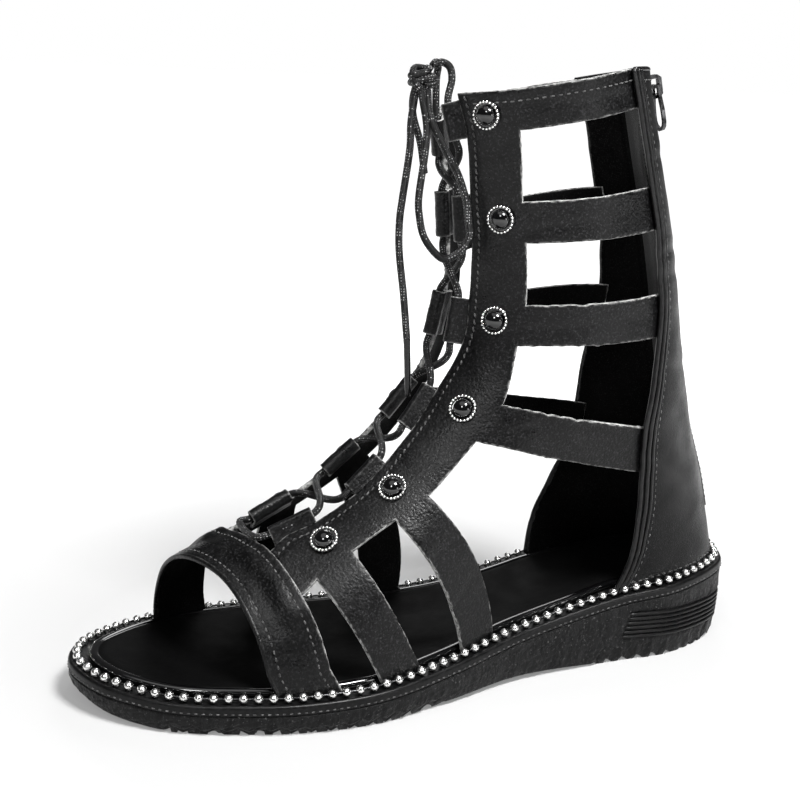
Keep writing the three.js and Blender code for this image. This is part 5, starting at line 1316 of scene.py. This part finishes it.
def crossing(upper, lower, su, sd, over):
    a, b = loop_frame(su, upper), loop_frame(sd, lower)
    p, q = through_loop(su, upper, True)[1], through_loop(sd, lower, True)[0]
    reach = np.linalg.norm(p - q) * 0.3
    push = unit(a["inward"] + b["inward"]) * (-1.7 if over else 1.7)
    P = [p, p - a["up"] * reach, q + b["up"] * reach, q]
    out = []
    for t in (0.12, 0.25, 0.38, 0.5, 0.62, 0.75, 0.88):
        c = (1 - t) ** 3 * P[0] + 3 * (1 - t) ** 2 * t * P[1] + 3 * (1 - t) * t * t * P[2] + t ** 3 * P[3]
        out.append(c + push * math.sin(math.pi * t))
    return out


def lace_points():
    pts = []
    end = lambda s: [np.array(q, float) for q in ((s * 0.9, -5.2, 208.4), (s * 1.9, -3.6, 209.6), (s * 4.2, -1.6, 208.4), (s * 5.9, -1.2, 204.6))]
    pts += end(-1); side = -1; n = len(LOOPS)
    for k in range(n):
        pts += through_loop(side, LOOPS[k], True)
        if k + 1 < n:
            pts += crossing(LOOPS[k], LOOPS[k + 1], side, -side, k % 2 == 0)
        side = -side
    last = loop_frame(1, LOOPS[-1]); drop = LOOPS[-1][2] / 2
    for x, d in ((0.8, 4.4), (0.4, 5.4), (0, 5.7), (-0.4, 5.4), (-0.8, 4.4)):
        c = last["centre"] * np.array([x, 1, 1]) - last["up"] * (drop + d); pts.append(c)
    for k in range(n - 1, -1, -1):
        pts += through_loop(side, LOOPS[k], False)
        if k > 0:
            pts += crossing(LOOPS[k - 1], LOOPS[k], -side, side, (k - 1) % 2 != 0)[::-1]
        side = -side
    return pts + end(1)[::-1]


def fine(points, step=0.8):
    P = np.array(points)
    return resample(catmull(P, len(P) * 14), step=step)


path = fine(lace_points())
V, F, UV = tube(path, LACE_R, 12, hint=(0, 0, 1))
parts = Parts(); parts.add(V, F, 0, UV)
parts.make("lacing", [M["lace"]], slot="lace", replaces=("lace",))
KNOT = np.array([0, -9.2, 203.8])
BOW = [[4.2,-10.4,196.8],[6.6,-9.6,187],[8.4,-12.3,165],[8.8,-12,160.5],[9.6,-10.4,153.6],[10.8,-6.6,148.2],[12,-3.8,146.2],[13.4,-.8,147.4],[14.6,2.4,150.6],[15,3.8,154.2],[14.4,3.2,159.4],[13.4,2.8,165],[10.8,.4,174],[8.4,-5,184],[6.4,-8.8,192.6]]
LONG_END = [[1.2,-12.2,197.4],[1.6,-13.2,190],[2.6,-13.6,182],[3.4,-15.9,165],[3.6,-16.6,159],[3.6,-16.4,149],[3.2,-13.8,133],[2.8,-11.8,119]]
TIP = [[2.75,-11.6,117.6],[2.2,-9.9,97.6]]
SHORT_END = [[-2.6,-11,197.6],[-4.4,-9.8,192],[-5,-6.4,183],[-4.6,-4.6,173]]


def length(P):
    return float(np.linalg.norm(np.diff(P, axis=0), axis=1).sum()) / 1000


# knot: two turns round the standing strands
th = np.linspace(0, 2 * math.pi * 2.0, 70)
turns = np.column_stack([KNOT[0] + 3.0 * np.cos(th), KNOT[1] + 3.7 * np.sin(th), KNOT[2] - 2.1 + 4.3 * th / th[-1] + 0.5 * np.sin(th)])
extra = np.array([KNOT + (-2.0, 3.0, 3.4), KNOT + (-2.6, -1.4, 3.6), KNOT + (0.4, -3.4, 1.0), KNOT + (2.6, -2.6, -2.2), KNOT + (1.6, 0.8, -3.6)])
parts = Parts()
V, F, UV = tube(resample(turns, step=0.8), LACE_R, 12); parts.add(V, F, 0, UV)
V, F, UV = tube(fine(extra), LACE_R, 12); parts.add(V, F, 0, UV)
core = fine([KNOT + (-1.2, -0.6, -4.0), KNOT + (-0.6, 0.3, 0), KNOT + (0.9, 2.2, 4.2)])
V, F, UV = tube(core, LACE_R * 1.1, 12); parts.add(V, F, 0, UV)
knot = parts.make("knot", [M["lace"]], slot="lace", replaces=("lace_knot",))

bow_path = fine([list(KNOT + (1.4, -1.2, -2.0))] + BOW + [list(KNOT + (2.6, 1.0, -3.4))])
V, F, UV = tube(bow_path, LACE_R, 12); parts = Parts(); parts.add(V, F, 0, UV)
bow = parts.make("bow_loop", [M["lace"]], slot="lace", replaces=("lace_bow_loop",))
long_path = fine([list(KNOT + (0.2, -2.0, -2.2))] + LONG_END + [[2.76, -11.65, 118.0]])
V, F, UV = tube(long_path, LACE_R, 12); parts = Parts(); parts.add(V, F, 0, UV)
long_end = parts.make("long_end", [M["lace"]], slot="lace", replaces=("lace_end_long",))
tp = resample(np.array([[2.78, -11.7, 119.0]] + TIP), step=0.8)
rad = 1.12 + 0.10 * np.exp(-((np.arange(len(tp)) - 2) / 1.2) ** 2) - 0.25 * smooth((np.arange(len(tp)) - len(tp) + 4) / 4)
V, F, UV = tube(tp, rad, 14); parts = Parts(); parts.add(V, F, 0, UV)
tip = parts.make("aglet", [M["tip"]], slot="lace_tip", replaces=("lace_tip",))
short_path = fine([list(KNOT + (-0.4, -1.0, 0.6))] + SHORT_END)
V, F, UV = tube(short_path, LACE_R, 12); parts = Parts(); parts.add(V, F, 0, UV)
short_end = parts.make("short_end", [M["lace"]], slot="lace", replaces=("lace_end_short",))
round(length(bow_path), 4)
round(length(long_path), 4)
round(length(short_path), 4)

# ---------------------------------------------------------------- floor and light
me = bpy.data.meshes.new("floor")
me.from_pydata([(-40, -40, 0), (40, -40, 0), (40, 40, 0), (-40, 40, 0)], [], [(0, 1, 2, 3)])
floor = bpy.data.objects.new("floor", me)
bpy.context.scene.collection.objects.link(floor)
m = Mat("floor", (0.9, 0.9, 0.9), 0.75, spec=0.1)
# painted light: the floor glows, emission 0.25 within 0.13 m of the centre rising to 1.0 at 0.45 m, so the far floor
# reads white
m.b.inputs["Emission Color"].default_value = (1, 1, 1, 1)
co, painted_glow_radius = m.node("ShaderNodeTexCoord"), m.node("ShaderNodeVectorMath", operation="LENGTH")
m.link(co.outputs["Object"], painted_glow_radius.inputs[0])
m.link(m.ramp(painted_glow_radius.outputs["Value"], 0.13, 0.45, 0.25, 1.0), m.b.inputs["Emission Strength"])
m.color(m.mix(m.noise(2.0, 2), (0.355, 0.355, 0.355), (0.365, 0.365, 0.365)))
floor.data.materials.append(m.m)
world = bpy.data.worlds.new("studio")
bpy.context.scene.world = world
world.use_nodes = True
wt = world.node_tree
bg = wt.nodes["Background"]
bg.inputs[0].default_value = (1, 1, 1, 1)
bg.inputs[1].default_value = 0.07
white = wt.nodes.new("ShaderNodeBackground")
white.inputs[0].default_value = (1, 1, 1, 1)
white.inputs[1].default_value = 1.0
seen = wt.nodes.new("ShaderNodeLightPath")
both = wt.nodes.new("ShaderNodeMixShader")
wt.links.new(seen.outputs["Is Camera Ray"], both.inputs[0])
wt.links.new(bg.outputs[0], both.inputs[1])
wt.links.new(white.outputs[0], both.inputs[2])
wt.links.new(both.outputs[0], wt.nodes["World Output"].inputs[0])
sun = bpy.data.lights.new("sky", "SUN")
sun.energy, sun.angle = 0.55, math.radians(50)
so = bpy.data.objects.new("sky", sun)
so.rotation_euler = (math.radians(14), math.radians(10), 0)
bpy.context.scene.collection.objects.link(so)


def area(name, place, target, size, power, size_y=None):
    d = bpy.data.lights.new(name, "AREA")
    d.energy, d.size = power, size
    if size_y:
        d.shape, d.size_y = "RECTANGLE", size_y
    o = bpy.data.objects.new(name, d)
    o.location = place
    o.rotation_euler = (Vector(target) - Vector(place)).to_track_quat("-Z", "Y").to_euler()
    bpy.context.scene.collection.objects.link(o)


area("top", (0.56, 0.20, 1.08), (0, -0.04, 0.05), 0.34, 28)
area("key", (0.85, -0.80, 0.95), (0, 0, 0.08), 0.24, 5)
area("fill", (1.25, 0.70, 0.30), (0, 0, 0.12), 0.26, 2.6)
area("rear", (-0.9, 0.5, 0.9), (0, 0, 0.1), 0.5, 3)
